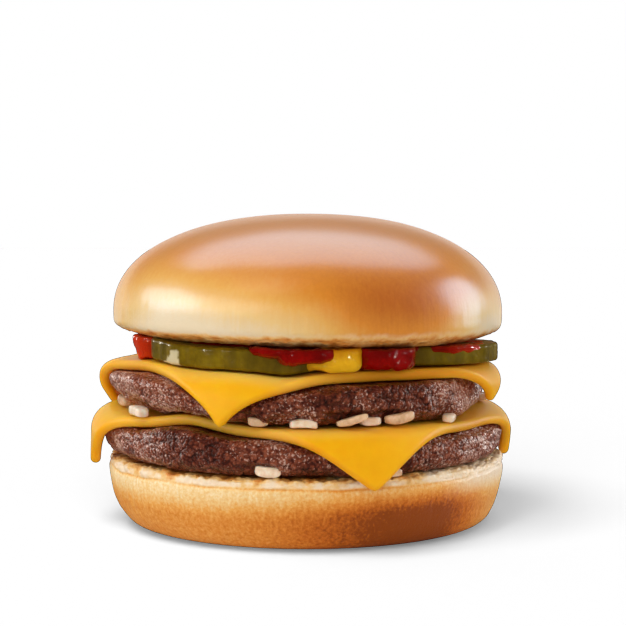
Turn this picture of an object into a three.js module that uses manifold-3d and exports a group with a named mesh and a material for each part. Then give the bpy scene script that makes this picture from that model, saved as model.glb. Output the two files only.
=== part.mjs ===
// A double cheeseburger: heel, patty, cheese, patty, cheese, pickles with ketchup and mustard, crown,
// and diced onion between the layers.
//
// Millimetres, +Z up. The origin is the centre of the heel's flat underside and -Y is the front.
// An azimuth is an angle in degrees round the stack, 0 at the front and 90 at +X.
import * as THREE from "three";
import { mergeVertices } from "three/addons/utils/BufferGeometryUtils.js";
import Module from "manifold-3d";

const wasm = await Module();
wasm.setup();

// ---------- driving dimensions ----------

const touch = 0.3; // air between two pieces that rest on each other
const cheeseThick = 2.4;

// waver lists the waves that make a round outline uneven: height, count round the rim and phase.
const heel = {
  footRadius: 39,
  faceRadius: 46,
  height: 17,
  // the bulging side, as radius and height, from the foot to the cut face
  side: [
    [43.2, 1],
    [45.7, 3.8],
    [47.2, 7.4],
    [48.1, 11.2],
    [48.4, 13.6],
    [48.3, 15.4],
    [47.8, 16.6],
  ],
  sideways: -0.6, // how far the side leans out towards +X above the foot
  waver: [
    [0.25, 2, 0.7],
    [0.2, 5, 0],
  ],
};
const crown = {
  radius: 47.5,
  widest: 51.3, // height of the widest ring
  top: 75,
  underside: 45.6,
  lean: 0.018, // the underside drops this much for each millimetre towards +X
  domePower: 2.17, // superellipse exponent of the dome's section
  skirtPower: 5.5, // and of the short skirt under the widest ring
  waver: [
    [0.14, 2, 0.5],
    [0.1, 3, 2],
  ],
};
const bunSegments = 40;

// A patty's top is uneven: each swell is an azimuth, a height and a half-width in degrees. undercut is
// how far its foot is drawn in all round, towards -X and towards +X, and taper how far its top edge
// is drawn in towards +X.
const lowerPatty = {
  centre: [-1.1, 0],
  radius: 49.4,
  waver: [
    [0.25, 3, 1],
    [0.2, 7, 0],
  ],
  undercut: { round: 0.4, left: 1.8, right: 0 },
  taper: 0,
  bottom: 17.3,
  top: 25.1,
  swells: [
    [-37, 1.8, 13],
    [-88, 0.9, 20],
    [57, -0.8, 14],
    [98, 0.7, 20],
  ],
};
const upperPatty = {
  centre: [-2.4, 0],
  radius: 47.6,
  waver: [
    [0.3, 2, 2.2],
    [0.2, 6, 1],
  ],
  undercut: { round: 0.4, left: 6, right: 2.4 },
  taper: 3,
  top: 37.1,
  swells: [
    [-56, 0.9, 17],
    [-3, -1, 9],
    [105, -0.9, 22],
    [-108, -0.8, 24],
  ],
};

// Where a patty's top starts to be uneven and where it is fully so, from its centre.
const swellFrom = 16;
const swellFull = 40;
const pattyEdges = { below: [3.4, 2.8], above: [2.6, 2.3], walls: 2, segments: 48, faces: [0.45, 0.86] };

// Each slice is a square cut. Its corners lie at these azimuths, this far from the patty's centre
// when flat. Beyond "fold" the cheese bends down with radius "bend" until it hangs "hang" degrees
// below level. A pinched corner wraps round the rim instead of folding straight, a squeezed one
// narrows as it hangs, and a blunt one has lost that share of its reach. bows push each side out
// from straight, the side after the first corner first.
const lowerSlice = {
  patty: lowerPatty,
  corners: [
    { azimuth: -82, reach: 62.5, fold: 46, bend: 4.7, hang: 89, pinch: 0.6, squeeze: 0, blunt: 0.012 },
    { azimuth: 18, reach: 61.2, fold: 44.2, bend: 6.7, hang: 78, pinch: 0, squeeze: 0, blunt: 0.022 },
    { azimuth: 94, reach: 60.6, fold: 44.8, bend: 5, hang: 87, pinch: 0.6, squeeze: 0, blunt: 0.012 },
    { azimuth: 190, reach: 59.6, fold: 44.6, bend: 6.2, hang: 80, pinch: 0.3, squeeze: 0, blunt: 0.016 },
  ],
  bows: [3.4, -2.2, 1.5, 0],
};
const upperSlice = {
  patty: upperPatty,
  corners: [
    { azimuth: -106, reach: 58.8, fold: 43.8, bend: 5.5, hang: 101, pinch: 0.7, squeeze: 0, blunt: 0.012 },
    { azimuth: -20, reach: 56, fold: 41.8, bend: 6.1, hang: 80, pinch: 1, squeeze: 0.35, blunt: 0.002 },
    { azimuth: 68, reach: 55.8, fold: 45.3, bend: 4.1, hang: 108, pinch: 0.8, squeeze: 0, blunt: 0.012 },
    { azimuth: 160, reach: 56, fold: 42.4, bend: 6.3, hang: 82, pinch: 0.3, squeeze: 0.2, blunt: 0.016 },
  ],
  bows: [0, 1.8, 2.4, 2],
};
const sliceCells = 16; // along each side
const tipPower = 9; // how closely a blunt corner's loss keeps to its tip
const hangLength = 14; // a squeezed corner is fully narrowed this far past the fold

// Oval slices lying on the upper cheese; turn is the long axis's angle from +X.
const pickleLift = 1.6 * touch;
const pickleRounding = [0.9, 0.9];
const pickles = {
  pickle_left: { centre: [-13.9, -21.8], long: 24.1, short: 18.6, turn: -30, thick: 4.9 },
  pickle_right: { centre: [26.6, -10.5], long: 19.6, short: 18.6, turn: 60, thick: 4.3 },
  pickle_back: { centre: [-7, 23.4], long: 20, short: 18.4, turn: 12, thick: 4.6 },
};

// The ketchup is spread under the crown and swells into lobes that run down to the cheese.
// drop is the share of the gap that a lobe fills.
const ketchupSpread = { radius: 39.5, thick: 1.8, waver: [[0.6, 5, 0]] };
const ketchupLobes = [
  { azimuth: -71.5, distance: 38, reach: 43.4, width: 5.4, drop: 1 },
  { azimuth: -9, distance: 42, reach: 45.3, width: 6.5, drop: 0.36 },
  { azimuth: 0.5, distance: 42, reach: 45.5, width: 7, drop: 0.6 },
  { azimuth: 26.5, distance: 38.4, reach: 45, width: 7.8, drop: 1 },
  { azimuth: 60, distance: 39, reach: 46.2, width: 11.5, drop: 0.2 },
  { azimuth: 118, distance: 38.5, reach: 44.6, width: 7, drop: 1 },
  { azimuth: 200, distance: 40, reach: 45, width: 8, drop: 0.7 },
  { azimuth: 248, distance: 38, reach: 44, width: 7.2, drop: 1 },
];
// Blobs of mustard from the upper cheese to the crown.
const mustardLift = 1.4 * touch;
const mustards = {
  mustard_front: { azimuth: 9.5, distance: 37.6, across: 6.6, along: 7 },
  mustard_back: { azimuth: 143, distance: 36.5, across: 8, along: 7.2 },
  mustard_side: { azimuth: 222, distance: 38, across: 5.6, along: 5.6 },
};

// Diced onion: azimuth, distance from the axis, length, width, height, yaw away from the tangent, tilt.
const onionsOnCheese = [
  [-76.5, 45, 4.4, 2.8, 2.3, 20, 6],
  [-56, 47, 6.6, 3.2, 2.2, -4, 3],
  [-13.6, 44.9, 4.6, 3, 2.1, 12, 0],
  [-1, 45, 6.1, 3, 2, 0, 0],
  [12.6, 45.8, 7, 2.6, 1.6, -6, -15],
  [18.6, 43.8, 4.6, 2.6, 2, 0, 0],
  [27.2, 45, 6.8, 3.2, 2.2, 4, -7],
  [46.8, 44.4, 3.6, 3, 1.7, 30, -5],
  [92, 42.6, 5.2, 3, 2, 10, 5],
  [128, 43.4, 6.2, 3.2, 2.1, -10, 0],
  [170, 44, 5.4, 3.2, 2.2, 8, 4],
  [212, 44, 6.4, 2.8, 2, -5, -6],
  [244, 45, 5, 3.2, 2.1, 14, 0],
];
const onionsOnHeel = [
  [-108, 46.4, 4.2, 2.6, 1.9, 8, 0],
  [-10.5, 46.9, 5.9, 2.9, 2.5, 0, 3],
  [24, 47.4, 3.6, 2.2, 1.7, 15, 0],
  [102, 46.2, 4.6, 2.6, 1.8, -12, 0],
  [122, 46.4, 5.2, 2.8, 2, 6, 0],
  [160, 46.6, 4.6, 2.8, 2, -8, 4],
  [215, 46.4, 5.6, 2.6, 2, 5, 0],
  [262, 46.2, 4.4, 2.6, 1.9, 0, -4],
];

const colours = {
  heel: 0xd9974f,
  crown: 0xd98a3c,
  patty: 0x55291d,
  cheese: 0xf4ad22,
  pickle: 0x6b6415,
  ketchup: 0x8c0d06,
  mustard: 0xd39a12,
  onion: 0xe6d3b4,
};

// ---------- helpers ----------

const radians = THREE.MathUtils.degToRad;
const heading = (azimuth) => [Math.sin(radians(azimuth)), -Math.cos(radians(azimuth))];
const mix = THREE.MathUtils.lerp;
const ease = THREE.MathUtils.smoothstep;
const signedPower = (value, power) => Math.sign(value) * Math.abs(value) ** power;

// The height at an azimuth of the waves in a waver list.
function wavering(waver, azimuth) {
  const around = radians(azimuth);
  return waver.reduce((sum, [height, count, phase]) => sum + height * Math.sin(count * around + phase), 0);
}

// Smooth value noise from 0 to 1 at a point, the same on every run.
function noise(x, y, z) {
  const cell = [x, y, z].map(Math.floor);
  const part = [x, y, z].map((value, axis) => ease(value - cell[axis], 0, 1));
  const corner = (i, j, k) => {
    const wave = Math.sin((cell[0] + i) * 127.1 + (cell[1] + j) * 311.7 + (cell[2] + k) * 74.7);
    return (((wave * 43758.5453) % 1) + 1) % 1;
  };
  const along = (j, k) => mix(corner(0, j, k), corner(1, j, k), part[0]);
  const across = (k) => mix(along(0, k), along(1, k), part[1]);
  return mix(across(0), across(1), part[2]);
}

// A closed surface from rings of [x, y, z] that run anticlockwise seen from above,
// from the middle of the underside out, up and in to the middle of the top.
function closedRings(rings, bottomPole, topPole) {
  const count = rings[0].length;
  const points = [bottomPole, ...rings.flat(), topPole];
  const at = (ring, step) => 1 + ring * count + (step % count);
  const faces = [];
  for (let step = 0; step < count; step += 1) {
    faces.push(0, at(0, step + 1), at(0, step));
    faces.push(points.length - 1, at(rings.length - 1, step), at(rings.length - 1, step + 1));
    for (let ring = 0; ring + 1 < rings.length; ring += 1) {
      faces.push(at(ring, step), at(ring, step + 1), at(ring + 1, step + 1));
      faces.push(at(ring, step), at(ring + 1, step + 1), at(ring + 1, step));
    }
  }
  return indexedGeometry(points, faces);
}

function indexedGeometry(points, faces) {
  const geometry = new THREE.BufferGeometry();
  geometry.setAttribute("position", new THREE.Float32BufferAttribute(points.flat(), 3));
  geometry.setIndex(faces);
  return geometry;
}

// A body of revolution from [radius, height] points, from the axis below to the axis above.
// shape may move each point: it takes (radius, height, azimuth) and gives [radius, height].
function turned(profile, segments, shape = (radius, height) => [radius, height]) {
  const place = ([radius, height], azimuth) => {
    const [r, z] = shape(radius, height, azimuth);
    const [x, y] = heading(azimuth);
    return [r * x, r * y, z];
  };
  const ring = (point) =>
    Array.from({ length: segments }, (_, step) => place(point, (360 * step) / segments));
  const rings = profile.slice(1, -1).map(ring);
  return closedRings(rings, place(profile[0], 0), place(profile[profile.length - 1], 0));
}

// A body between two height surfaces with rounded edges. outline(azimuth) is its radius about centre,
// below and above are the [width, height] of the two roundings, faces the shares of the radius at
// which its flat faces have rings, and shave(x, y, z, azimuth, rise) a depth taken off its side.
// Where the body is thin, neither rounding takes more than mostOfEdge of its thickness.
function slab({ centre, outline, lower, upper, below, above, walls = 0, segments, faces, shave }) {
  const steps = 2;
  const mostOfEdge = 0.45;
  const curve = Array.from({ length: steps + 1 }, (_, k) => {
    const turn = (Math.PI * k) / (2 * steps);
    return [1 - Math.sin(turn), 1 - Math.cos(turn)];
  });
  const widest = Math.max(below[0], above[0]);
  const section = faces.map((share) => ({ share, low: 0, high: 0, level: 0 }));
  for (const [inset, height] of curve)
    section.push({ inset: below[0] * inset, low: below[1] * height, high: 0, level: 0 });
  for (let k = 1; k <= walls; k += 1)
    section.push({ inset: 0, low: below[1], high: above[1], level: k / (walls + 1) });
  for (const [inset, height] of [...curve].reverse())
    section.push({ inset: above[0] * inset, low: 0, high: above[1] * height, level: 1 });
  section.push(...faces.map((share) => ({ share, low: 0, high: 0, level: 1 })).reverse());

  const place = ({ share, inset, low, high, level }, azimuth) => {
    const [dx, dy] = heading(azimuth);
    const at = (r) => {
      const [x, y] = [centre[0] + r * dx, centre[1] + r * dy];
      const [floor, ceiling] = [lower(x, y), upper(x, y)];
      const room = mostOfEdge * (ceiling - floor);
      const z = mix(floor + Math.min(low, room), ceiling - Math.min(high, room), level);
      return [x, y, z, (z - floor) / (ceiling - floor)];
    };
    if (share !== undefined) return at(share * (outline(azimuth) - widest)).slice(0, 3);
    const r = outline(azimuth) - inset;
    const [x, y, z, rise] = at(r);
    return shave ? at(r - shave(x, y, z, azimuth, rise)).slice(0, 3) : [x, y, z];
  };
  const rings = section.map((spot) =>
    Array.from({ length: segments }, (_, step) => place(spot, (360 * step) / segments)),
  );
  const pole = (level) => place({ share: 0, low: 0, high: 0, level }, 0);
  return closedRings(rings, pole(0), pole(1));
}

function solidOf(geometry) {
  const merged = mergeVertices(geometry, 1e-4);
  const vertProperties = merged.attributes.position.array;
  const triVerts = new Uint32Array(merged.index.array);
  return new wasm.Manifold(new wasm.Mesh({ numProp: 3, vertProperties, triVerts }));
}

// The largest piece of a solid as a geometry: any scrap that a cut left loose is dropped, and facets
// that lie within "flatness" of one another are joined.
function geometryOf(solid) {
  const flatness = 0.05;
  const largest = solid.decompose().reduce((a, b) => (a.volume() > b.volume() ? a : b));
  const { vertProperties, triVerts } = largest.asOriginal().simplify(flatness).getMesh();
  const geometry = new THREE.BufferGeometry();
  geometry.setAttribute("position", new THREE.Float32BufferAttribute(vertProperties, 3));
  geometry.setIndex([...triVerts]);
  return geometry;
}

const cut = (geometry, tools) =>
  geometryOf(tools.reduce((solid, tool) => solid.subtract(solidOf(tool)), solidOf(geometry)));

const burger = new THREE.Group();

function add(name, geometry, colour, roughness) {
  const material = new THREE.MeshStandardMaterial({ color: colour, roughness, metalness: 0 });
  const mesh = new THREE.Mesh(geometry, material);
  mesh.name = name;
  geometry.computeVertexNormals();
  burger.add(mesh);
}

// ---------- heights of the stack ----------

const clockDistance = (a, b) => Math.abs(THREE.MathUtils.euclideanModulo(a - b + 180, 360) - 180);

function pattyTop({ centre, top, swells }, x, y) {
  const [px, py] = [x - centre[0], y - centre[1]];
  const azimuth = THREE.MathUtils.radToDeg(Math.atan2(px, -py));
  const rim = ease(Math.hypot(px, py), swellFrom, swellFull);
  const heights = swells.map(([at, height, halfWidth]) => {
    return height * Math.exp(-((clockDistance(azimuth, at) / halfWidth) ** 2));
  });
  return top + rim * heights.reduce((sum, each) => sum + each);
}

const lowerTop = (x, y) => pattyTop(lowerPatty, x, y);
const upperTop = (x, y) => pattyTop(upperPatty, x, y);
const lowerCheeseTop = (x, y) => lowerTop(x, y) + touch + cheeseThick;
const upperCheeseTop = (x, y) => upperTop(x, y) + touch + cheeseThick;
const upperBottom = (x, y) => lowerCheeseTop(x, y) + 2 * touch;
const crownUnder = (x) => crown.underside - crown.lean * x;

// ---------- buns ----------

function makeHeel() {
  const { footRadius, height, faceRadius, side, sideways, waver } = heel;
  const outline = [[footRadius, 0], ...side, [faceRadius, height]];
  const wall = new THREE.SplineCurve(outline.map(([r, z]) => new THREE.Vector2(r, z)));
  const steps = 12;
  const profile = [[0, 0], ...wall.getPoints(steps).map(({ x, y }) => [x, y]), [0, height]];
  const fullFrom = 8; // the foot's own ring is round
  const swell = (r, z, azimuth) => {
    const out = wavering(waver, azimuth) + sideways * Math.sin(radians(azimuth));
    return [r + ease(z, 0, fullFrom) * out, z];
  };
  return turned(profile, bunSegments, swell);
}

function makeCrown() {
  const { radius, widest, top, underside, domePower, skirtPower, lean, waver } = crown;
  const quarter = (steps, height, power) =>
    Array.from({ length: steps }, (_, k) => {
      const turn = radians((90 * k) / steps);
      return [radius * Math.cos(turn) ** (2 / power), height * Math.sin(turn) ** (2 / power)];
    });
  const skirt = quarter(4, widest - underside, skirtPower).map(([r, h]) => [r, widest - h]);
  const dome = quarter(10, top - widest, domePower).map(([r, h]) => [r, widest + h]);
  const edge = [radius - 2.9, underside];
  const cap = [radius * 0.13, top - 0.12];
  const profile = [[0, underside], edge, ...skirt.reverse(), ...dome.slice(1), cap, [0, top]];
  // Below the widest ring the crown leans down towards +X.
  const settle = (r, z, azimuth) => {
    const low = 1 - ease(z, underside, widest);
    const fullness = 1 + wavering(waver, azimuth) / radius;
    return [r * fullness, z - low * lean * r * Math.sin(radians(azimuth))];
  };
  return turned(profile, bunSegments, settle);
}

// ---------- meat ----------

// Depth of the crags in a patty's side: coarse lumps with finer ones on them.
const crags = (x, y, z) =>
  0.8 * noise(x / 4.6, y / 4.6, z / 3.4) + 0.4 * noise(x / 2.3 + 7, y / 2.3, z / 2);

function makePatty(patty, lower, upper, pressing) {
  const { centre, radius, waver, undercut, taper } = patty;
  const shave = (x, y, z, azimuth, rise) => {
    const towardsX = Math.sin(radians(azimuth));
    const left = ease(-towardsX, 0.4, 1);
    const right = ease(towardsX, 0.75, 1);
    const foot = undercut.round + undercut.left * left + undercut.right * right;
    return crags(x, y, z) + (1 - rise) ** 2 * foot + rise ** 2 * taper * right;
  };
  const outline = (azimuth) => radius + wavering(waver, azimuth);
  return cut(slab({ centre, outline, lower, upper, ...pattyEdges, shave }), pressing);
}

// ---------- cheese ----------

// The corner of a slice nearest to an azimuth, the angle away from it as a share of the way to the
// middle of the side, and the corner's values blended smoothly into those of the next one along.
function nearestCorner(slice, azimuth) {
  const { corners } = slice;
  const after = (corner) => THREE.MathUtils.euclideanModulo(azimuth - corner.azimuth, 360);
  const k = corners.reduce((best, corner, i) => (after(corner) < after(corners[best]) ? i : best), 0);
  const [from, to] = [corners[k], corners[(k + 1) % corners.length]];
  const half = THREE.MathUtils.euclideanModulo(to.azimuth - from.azimuth, 360) / 2;
  const share = after(from) / half;
  const smooth = share < 1 ? share ** 2 / 2 : 1 - (2 - share) ** 2 / 2;
  const value = (key) => mix(from[key], to[key], smooth);
  const [corner, away] = share < 1 ? [from, share] : [to, share - 2];
  return { corner, half, away, value };
}

// Where a point of the flat slice, [x, y] from the patty's centre, lies once the slice has draped:
// past the fold circle it follows a bend and then hangs straight. Near a corner's own axis it folds
// parallel to that axis, and half-way between two corners it folds radially.
function drape(slice, rest, [x, y]) {
  const azimuth = THREE.MathUtils.radToDeg(Math.atan2(x, -y));
  const { corner, half, away, value } = nearestCorner(slice, azimuth);
  const [fold, bend, hang] = [value("fold"), value("bend"), radians(value("hang"))];
  const [dx, dy] = heading(corner.azimuth + half * away * mix(Math.abs(away), 1, value("pinch")));
  const along = x * dx + y * dy;
  const past = Math.max(0, along - Math.sqrt(Math.max(0, along ** 2 - (x * x + y * y - fold ** 2))));
  const turn = Math.min(past / bend, hang);
  const straight = Math.max(0, past - bend * turn);
  const out = bend * Math.sin(turn) + straight * Math.cos(turn) - past;
  const down = bend * (1 - Math.cos(turn)) + straight * Math.sin(turn);
  const hung = new THREE.Vector2(x + out * dx, y + out * dy);
  const drawnIn = corner.squeeze * half * away * (1 - Math.abs(away)) * ease(past, 0, hangLength);
  hung.rotateAround(new THREE.Vector2(), -radians(drawnIn));
  const { centre } = slice.patty;
  const z = rest(centre[0] + x - past * dx, centre[1] + y - past * dy) + touch + cheeseThick / 2 - down;
  return new THREE.Vector3(centre[0] + hung.x, centre[1] + hung.y, z);
}

// A point of the flat slice for u and v from -1 to 1: a square with bowed sides and blunt corners.
function flatSlice({ corners, bows }) {
  const tips = corners.map(({ azimuth, reach }) => heading(azimuth).map((t) => t * reach));
  const outward = tips.map(([px, py], k) => {
    const [qx, qy] = tips[(k + 1) % 4];
    const length = Math.hypot(qx - px, qy - py);
    return [((qy - py) * bows[k]) / length, ((px - qx) * bows[k]) / length];
  });
  // How near [u, v] is to the tip of one corner: 1 at the tip, and soon 0 away from it.
  const tipShare = (k, u, v) => {
    const [s, t] = [k === 1 || k === 2 ? u : -u, k > 1 ? v : -v];
    return s > 0 && t > 0 ? (s * t) ** tipPower : 0;
  };
  return (u, v) => {
    const [s, t] = [(1 + u) / 2, (1 + v) / 2];
    const [acrossU, acrossV] = [1 - u * u, 1 - v * v];
    const bow = [acrossU * (1 - t) ** 2, acrossV * s ** 2, acrossU * t ** 2, acrossV * (1 - s) ** 2];
    const blunt = 1 - corners.reduce((sum, corner, k) => sum + tipShare(k, u, v) * corner.blunt, 0);
    return [0, 1].map((axis) => {
      const [a, b, c, d] = tips.map((tip) => tip[axis]);
      const square = mix(mix(a, b, s), mix(d, c, s), t);
      return blunt * outward.reduce((sum, side, k) => sum + bow[k] * side[axis], square);
    });
  };
}

// A slice draped over the rest surface, as an upper and a lower face on a grid with walls between.
function makeSlice(slice, rest, grow = 0) {
  const flat = flatSlice(slice);
  const wider = 1 + grow / heel.footRadius;
  const middle = (u, v) => drape(slice, rest, flat(u, v).map((t) => t * wider));
  const near = 0.02;
  const normal = (u, v) => {
    const alongU = middle(u + near, v).sub(middle(u - near, v));
    const alongV = middle(u, v + near).sub(middle(u, v - near));
    return alongU.cross(alongV).normalize();
  };
  // Cells are smaller towards the edges.
  const spread = (step) => {
    const s = (2 * step) / sliceCells - 1;
    return 1.2 * s - 0.2 * s ** 3;
  };
  const row = sliceCells + 1;
  const under = row * row;
  const half = cheeseThick / 2 + grow;
  const points = Array.from({ length: 2 * under }, (_, index) => {
    const at = index % under;
    const [u, v] = [spread(at % row), spread(Math.floor(at / row))];
    return middle(u, v).addScaledVector(normal(u, v), index < under ? half : -half).toArray();
  });
  const faces = [];
  for (let j = 0; j < sliceCells; j += 1)
    for (let i = 0; i < sliceCells; i += 1) {
      const cell = [j * row + i, j * row + i + 1, (j + 1) * row + i + 1, (j + 1) * row + i];
      // Each cell is split along the way its own corner folds.
      const turned = (i < sliceCells / 2) === (j < sliceCells / 2);
      const [p, q, r, s] = turned ? [...cell.slice(1), cell[0]] : cell;
      faces.push(p, q, r, p, r, s, under + p, under + r, under + q, under + p, under + s, under + r);
    }
  for (let k = 0; k < sliceCells; k += 1) {
    const walls = [
      [k, k + 1],
      [k * row + sliceCells, (k + 1) * row + sliceCells],
      [sliceCells * row + k + 1, sliceCells * row + k],
      [(k + 1) * row, k * row],
    ];
    for (const [from, to] of walls) faces.push(from, under + to, to, from, under + from, under + to);
  }
  return indexedGeometry(points, faces);
}

// ---------- pickles, sauces and onion ----------

function makePickle({ centre, long, short, turn, thick }, grow = 0) {
  const outline = (azimuth) => {
    const [dx, dy] = heading(azimuth - turn);
    return grow + 1 / Math.hypot(dx / long, dy / short);
  };
  const lower = (x, y) => upperCheeseTop(x, y) + pickleLift - grow;
  const upper = (x, y) => lower(x, y) + thick + 2 * grow;
  const [below, above] = [pickleRounding, pickleRounding];
  return slab({ centre, outline, lower, upper, below, above, segments: 26, faces: [0.6] });
}

function makeMustard({ azimuth, distance, across, along }, grow = 0) {
  const lumps = [[0.06, 3, 0]];
  const outline = (turn) => {
    const [dx, dy] = heading(turn - azimuth);
    return grow + (1 + wavering(lumps, turn)) / Math.hypot(dx / across, dy / along);
  };
  return slab({
    centre: heading(azimuth).map((t) => t * distance),
    outline,
    lower: (x, y) => upperCheeseTop(x, y) + mustardLift - grow,
    upper: (x) => crownUnder(x) - touch + grow,
    below: [1.6, 1.8],
    above: [0.8, 0.8],
    segments: 18,
    faces: [0.6],
  });
}

// The spread's own outline swells out round each lobe, and its underside sinks there.
function makeKetchup(cutters) {
  const { radius, thick, waver } = ketchupSpread;
  const outline = (azimuth) => {
    const bulges = ketchupLobes.map(({ azimuth: at, distance, reach, width }) => {
      const sideways = distance * Math.sin(radians(Math.min(clockDistance(azimuth, at), 90)));
      const round = 1 - (sideways / width) ** 2;
      return round > 0 ? distance + (reach - distance) * Math.sqrt(round) : 0;
    });
    return Math.max(radius + wavering(waver, azimuth), ...bulges);
  };
  const lower = (x, y) => {
    const top = crownUnder(x) - touch;
    const floor = upperCheeseTop(x, y) + touch;
    const fills = ketchupLobes.map(({ azimuth, distance, width, drop }) => {
      const [dx, dy] = heading(azimuth);
      const off = Math.hypot(x - distance * dx, y - distance * dy);
      return drop * (1 - ease(off, width * 0.75, width * 1.25));
    });
    return mix(top, floor, Math.max(thick / (top - floor), ...fills));
  };
  const spread = slab({
    centre: [0, 0],
    outline,
    lower,
    upper: (x) => crownUnder(x) - touch,
    below: [1.8, 1.4],
    above: [0.8, 0.6],
    segments: 54,
    faces: [0.5, 0.78, 0.88],
  });
  return cut(spread, cutters);
}

// A little bar of onion with blunt edges, lying along the rim at its azimuth.
function makeOnion([azimuth, distance, length, width, height, yaw, tilt], floor, grow = 0) {
  const [x, y] = heading(azimuth).map((t) => t * distance);
  const ends = (length / 2) * Math.abs(Math.sin(radians(tilt)));
  const cornerLoss = 0.7; // the rounded ends of a tilted bar reach down this share of the way
  const pose = new THREE.Matrix4()
    .makeTranslation(x, y, floor(x, y) + touch + height / 2 + ends * cornerLoss)
    .multiply(new THREE.Matrix4().makeRotationZ(radians(azimuth + yaw)))
    .multiply(new THREE.Matrix4().makeRotationY(radians(tilt)));
  const square = 0.55; // superellipsoid exponent: 1 is round and 0 a box
  const point = (turn, lift) => {
    const round = Math.cos(radians(lift)) ** square;
    const spot = new THREE.Vector3(
      (length / 2 + grow) * signedPower(Math.cos(radians(turn)), square) * round,
      (width / 2 + grow) * signedPower(Math.sin(radians(turn)), square) * round,
      (height / 2 + grow) * signedPower(Math.sin(radians(lift)), square),
    );
    return spot.applyMatrix4(pose).toArray();
  };
  const turns = 8;
  const ring = (lift) => Array.from({ length: turns }, (_, k) => point((360 * (k + 0.5)) / turns, lift));
  return closedRings([-50, 0, 50].map(ring), point(0, -90), point(0, 90));
}

// ---------- the stack ----------

// The heel's cut face turns down a little past its rim.
function heelFace(x, y) {
  const [drop, width] = [0.5, 2.5];
  return heel.height - drop * ease(Math.hypot(x, y), heel.faceRadius, heel.faceRadius + width);
}

const numbered = (stem, index) => `${stem}_${String(index + 1).padStart(2, "0")}`;
const cheeseOnions = (grow) => onionsOnCheese.map((spec) => makeOnion(spec, lowerCheeseTop, grow));
const heelOnions = (grow) => onionsOnHeel.map((spec) => makeOnion(spec, heelFace, grow));

// The cheese presses its own shape into the rim of the patty under it.
const lowerGrown = makeSlice(lowerSlice, lowerTop, touch);
const upperGrown = makeSlice(upperSlice, upperTop, touch);

add("heel", makeHeel(), colours.heel, 0.75);
const pattySeat = () => lowerPatty.bottom;
const lowerMeat = makePatty(lowerPatty, pattySeat, lowerTop, [...heelOnions(touch), lowerGrown]);
add("patty_lower", lowerMeat, colours.patty, 0.5);
add("cheese_lower", makeSlice(lowerSlice, lowerTop), colours.cheese, 0.4);
const upperMeat = makePatty(upperPatty, upperBottom, upperTop, [...cheeseOnions(touch), upperGrown]);
add("patty_upper", upperMeat, colours.patty, 0.5);
add("cheese_upper", makeSlice(upperSlice, upperTop), colours.cheese, 0.4);
for (const [name, spec] of Object.entries(pickles)) add(name, makePickle(spec), colours.pickle, 0.35);

const grownPickles = Object.values(pickles).map((spec) => makePickle(spec, touch));
const grownMustards = Object.values(mustards).map((spec) => makeMustard(spec, touch));
for (const [name, spec] of Object.entries(mustards)) {
  add(name, cut(makeMustard(spec), grownPickles), colours.mustard, 0.3);
}
add("ketchup", makeKetchup([...grownPickles, ...grownMustards]), colours.ketchup, 0.2);
add("crown", makeCrown(), colours.crown, 0.35);

heelOnions(0).forEach((geometry, k) => add(numbered("onion_heel", k), geometry, colours.onion, 0.4));
cheeseOnions(0).forEach((geometry, k) => add(numbered("onion_cheese", k), geometry, colours.onion, 0.4));

export default burger;
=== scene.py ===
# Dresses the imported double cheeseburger: bread, meat, cheese, pickle, sauces and diced onion as fine
# meshes over the fixed frame, with their materials, a pale table, studio light and the camera.
import math

import bpy
import numpy as np
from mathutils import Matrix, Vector


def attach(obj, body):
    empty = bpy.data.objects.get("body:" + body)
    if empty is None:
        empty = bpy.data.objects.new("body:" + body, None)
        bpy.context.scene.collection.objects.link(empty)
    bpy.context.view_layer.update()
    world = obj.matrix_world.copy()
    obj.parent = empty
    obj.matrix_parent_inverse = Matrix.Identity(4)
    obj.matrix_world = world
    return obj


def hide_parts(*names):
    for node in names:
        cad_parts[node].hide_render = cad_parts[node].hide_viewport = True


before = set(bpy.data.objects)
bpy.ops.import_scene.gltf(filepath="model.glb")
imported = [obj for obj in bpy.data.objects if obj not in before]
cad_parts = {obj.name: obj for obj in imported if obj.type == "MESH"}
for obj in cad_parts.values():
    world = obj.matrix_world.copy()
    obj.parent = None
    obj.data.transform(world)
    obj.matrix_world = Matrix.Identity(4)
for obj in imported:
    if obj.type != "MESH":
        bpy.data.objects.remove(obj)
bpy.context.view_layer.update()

# Shapes are worked out in millimetres and azimuths in degrees, 0 at the front (-Y) and 90 at +X.
mm = 0.001
touch = 0.3  # air between two pieces that rest on each other


def mix(a, b, share):
    # the straight line from a at share 0 to b at share 1
    return a + (b - a) * share


def ease(value, low, high):
    # smooth step: 3t^2 - 2t^3 for t from 0 at low to 1 at high
    t = np.clip((value - low) / (high - low), 0, 1)
    return t * t * (3 - 2 * t)


def heading(azimuth):
    # the unit vector of an azimuth: its sine along X and minus its cosine along Y
    turn = np.radians(azimuth)
    return np.sin(turn), -np.cos(turn)


def azimuthOf(x, y):
    # the arctangent of x over -y
    return np.degrees(np.arctan2(x, -y))


def clockDistance(a, b):
    # the angle between two azimuths, from 0 to 180
    return np.abs((a - b + 180) % 360 - 180)


def wavering(waver, azimuth):
    # sum of height * sin(count * azimuth + phase)
    around = np.radians(azimuth)
    return sum(height * np.sin(count * around + phase) for height, count, phase in waver)


def bells(azimuth, specs):
    # sum of height * exp(-(angle from the middle / half-width)^2)
    return sum(height * np.exp(-((clockDistance(azimuth, at) / half) ** 2)) for at, half, height in specs)


hashSpread = 43758.5453  # scatters a sine, whose fraction then stands in for a random draw
cornerHash = (127.1, 311.7, 74.7)
cellHash = np.array([[127.1, 269.5, 113.5], [311.7, 183.3, 271.9], [74.7, 246.1, 124.6]])


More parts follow.
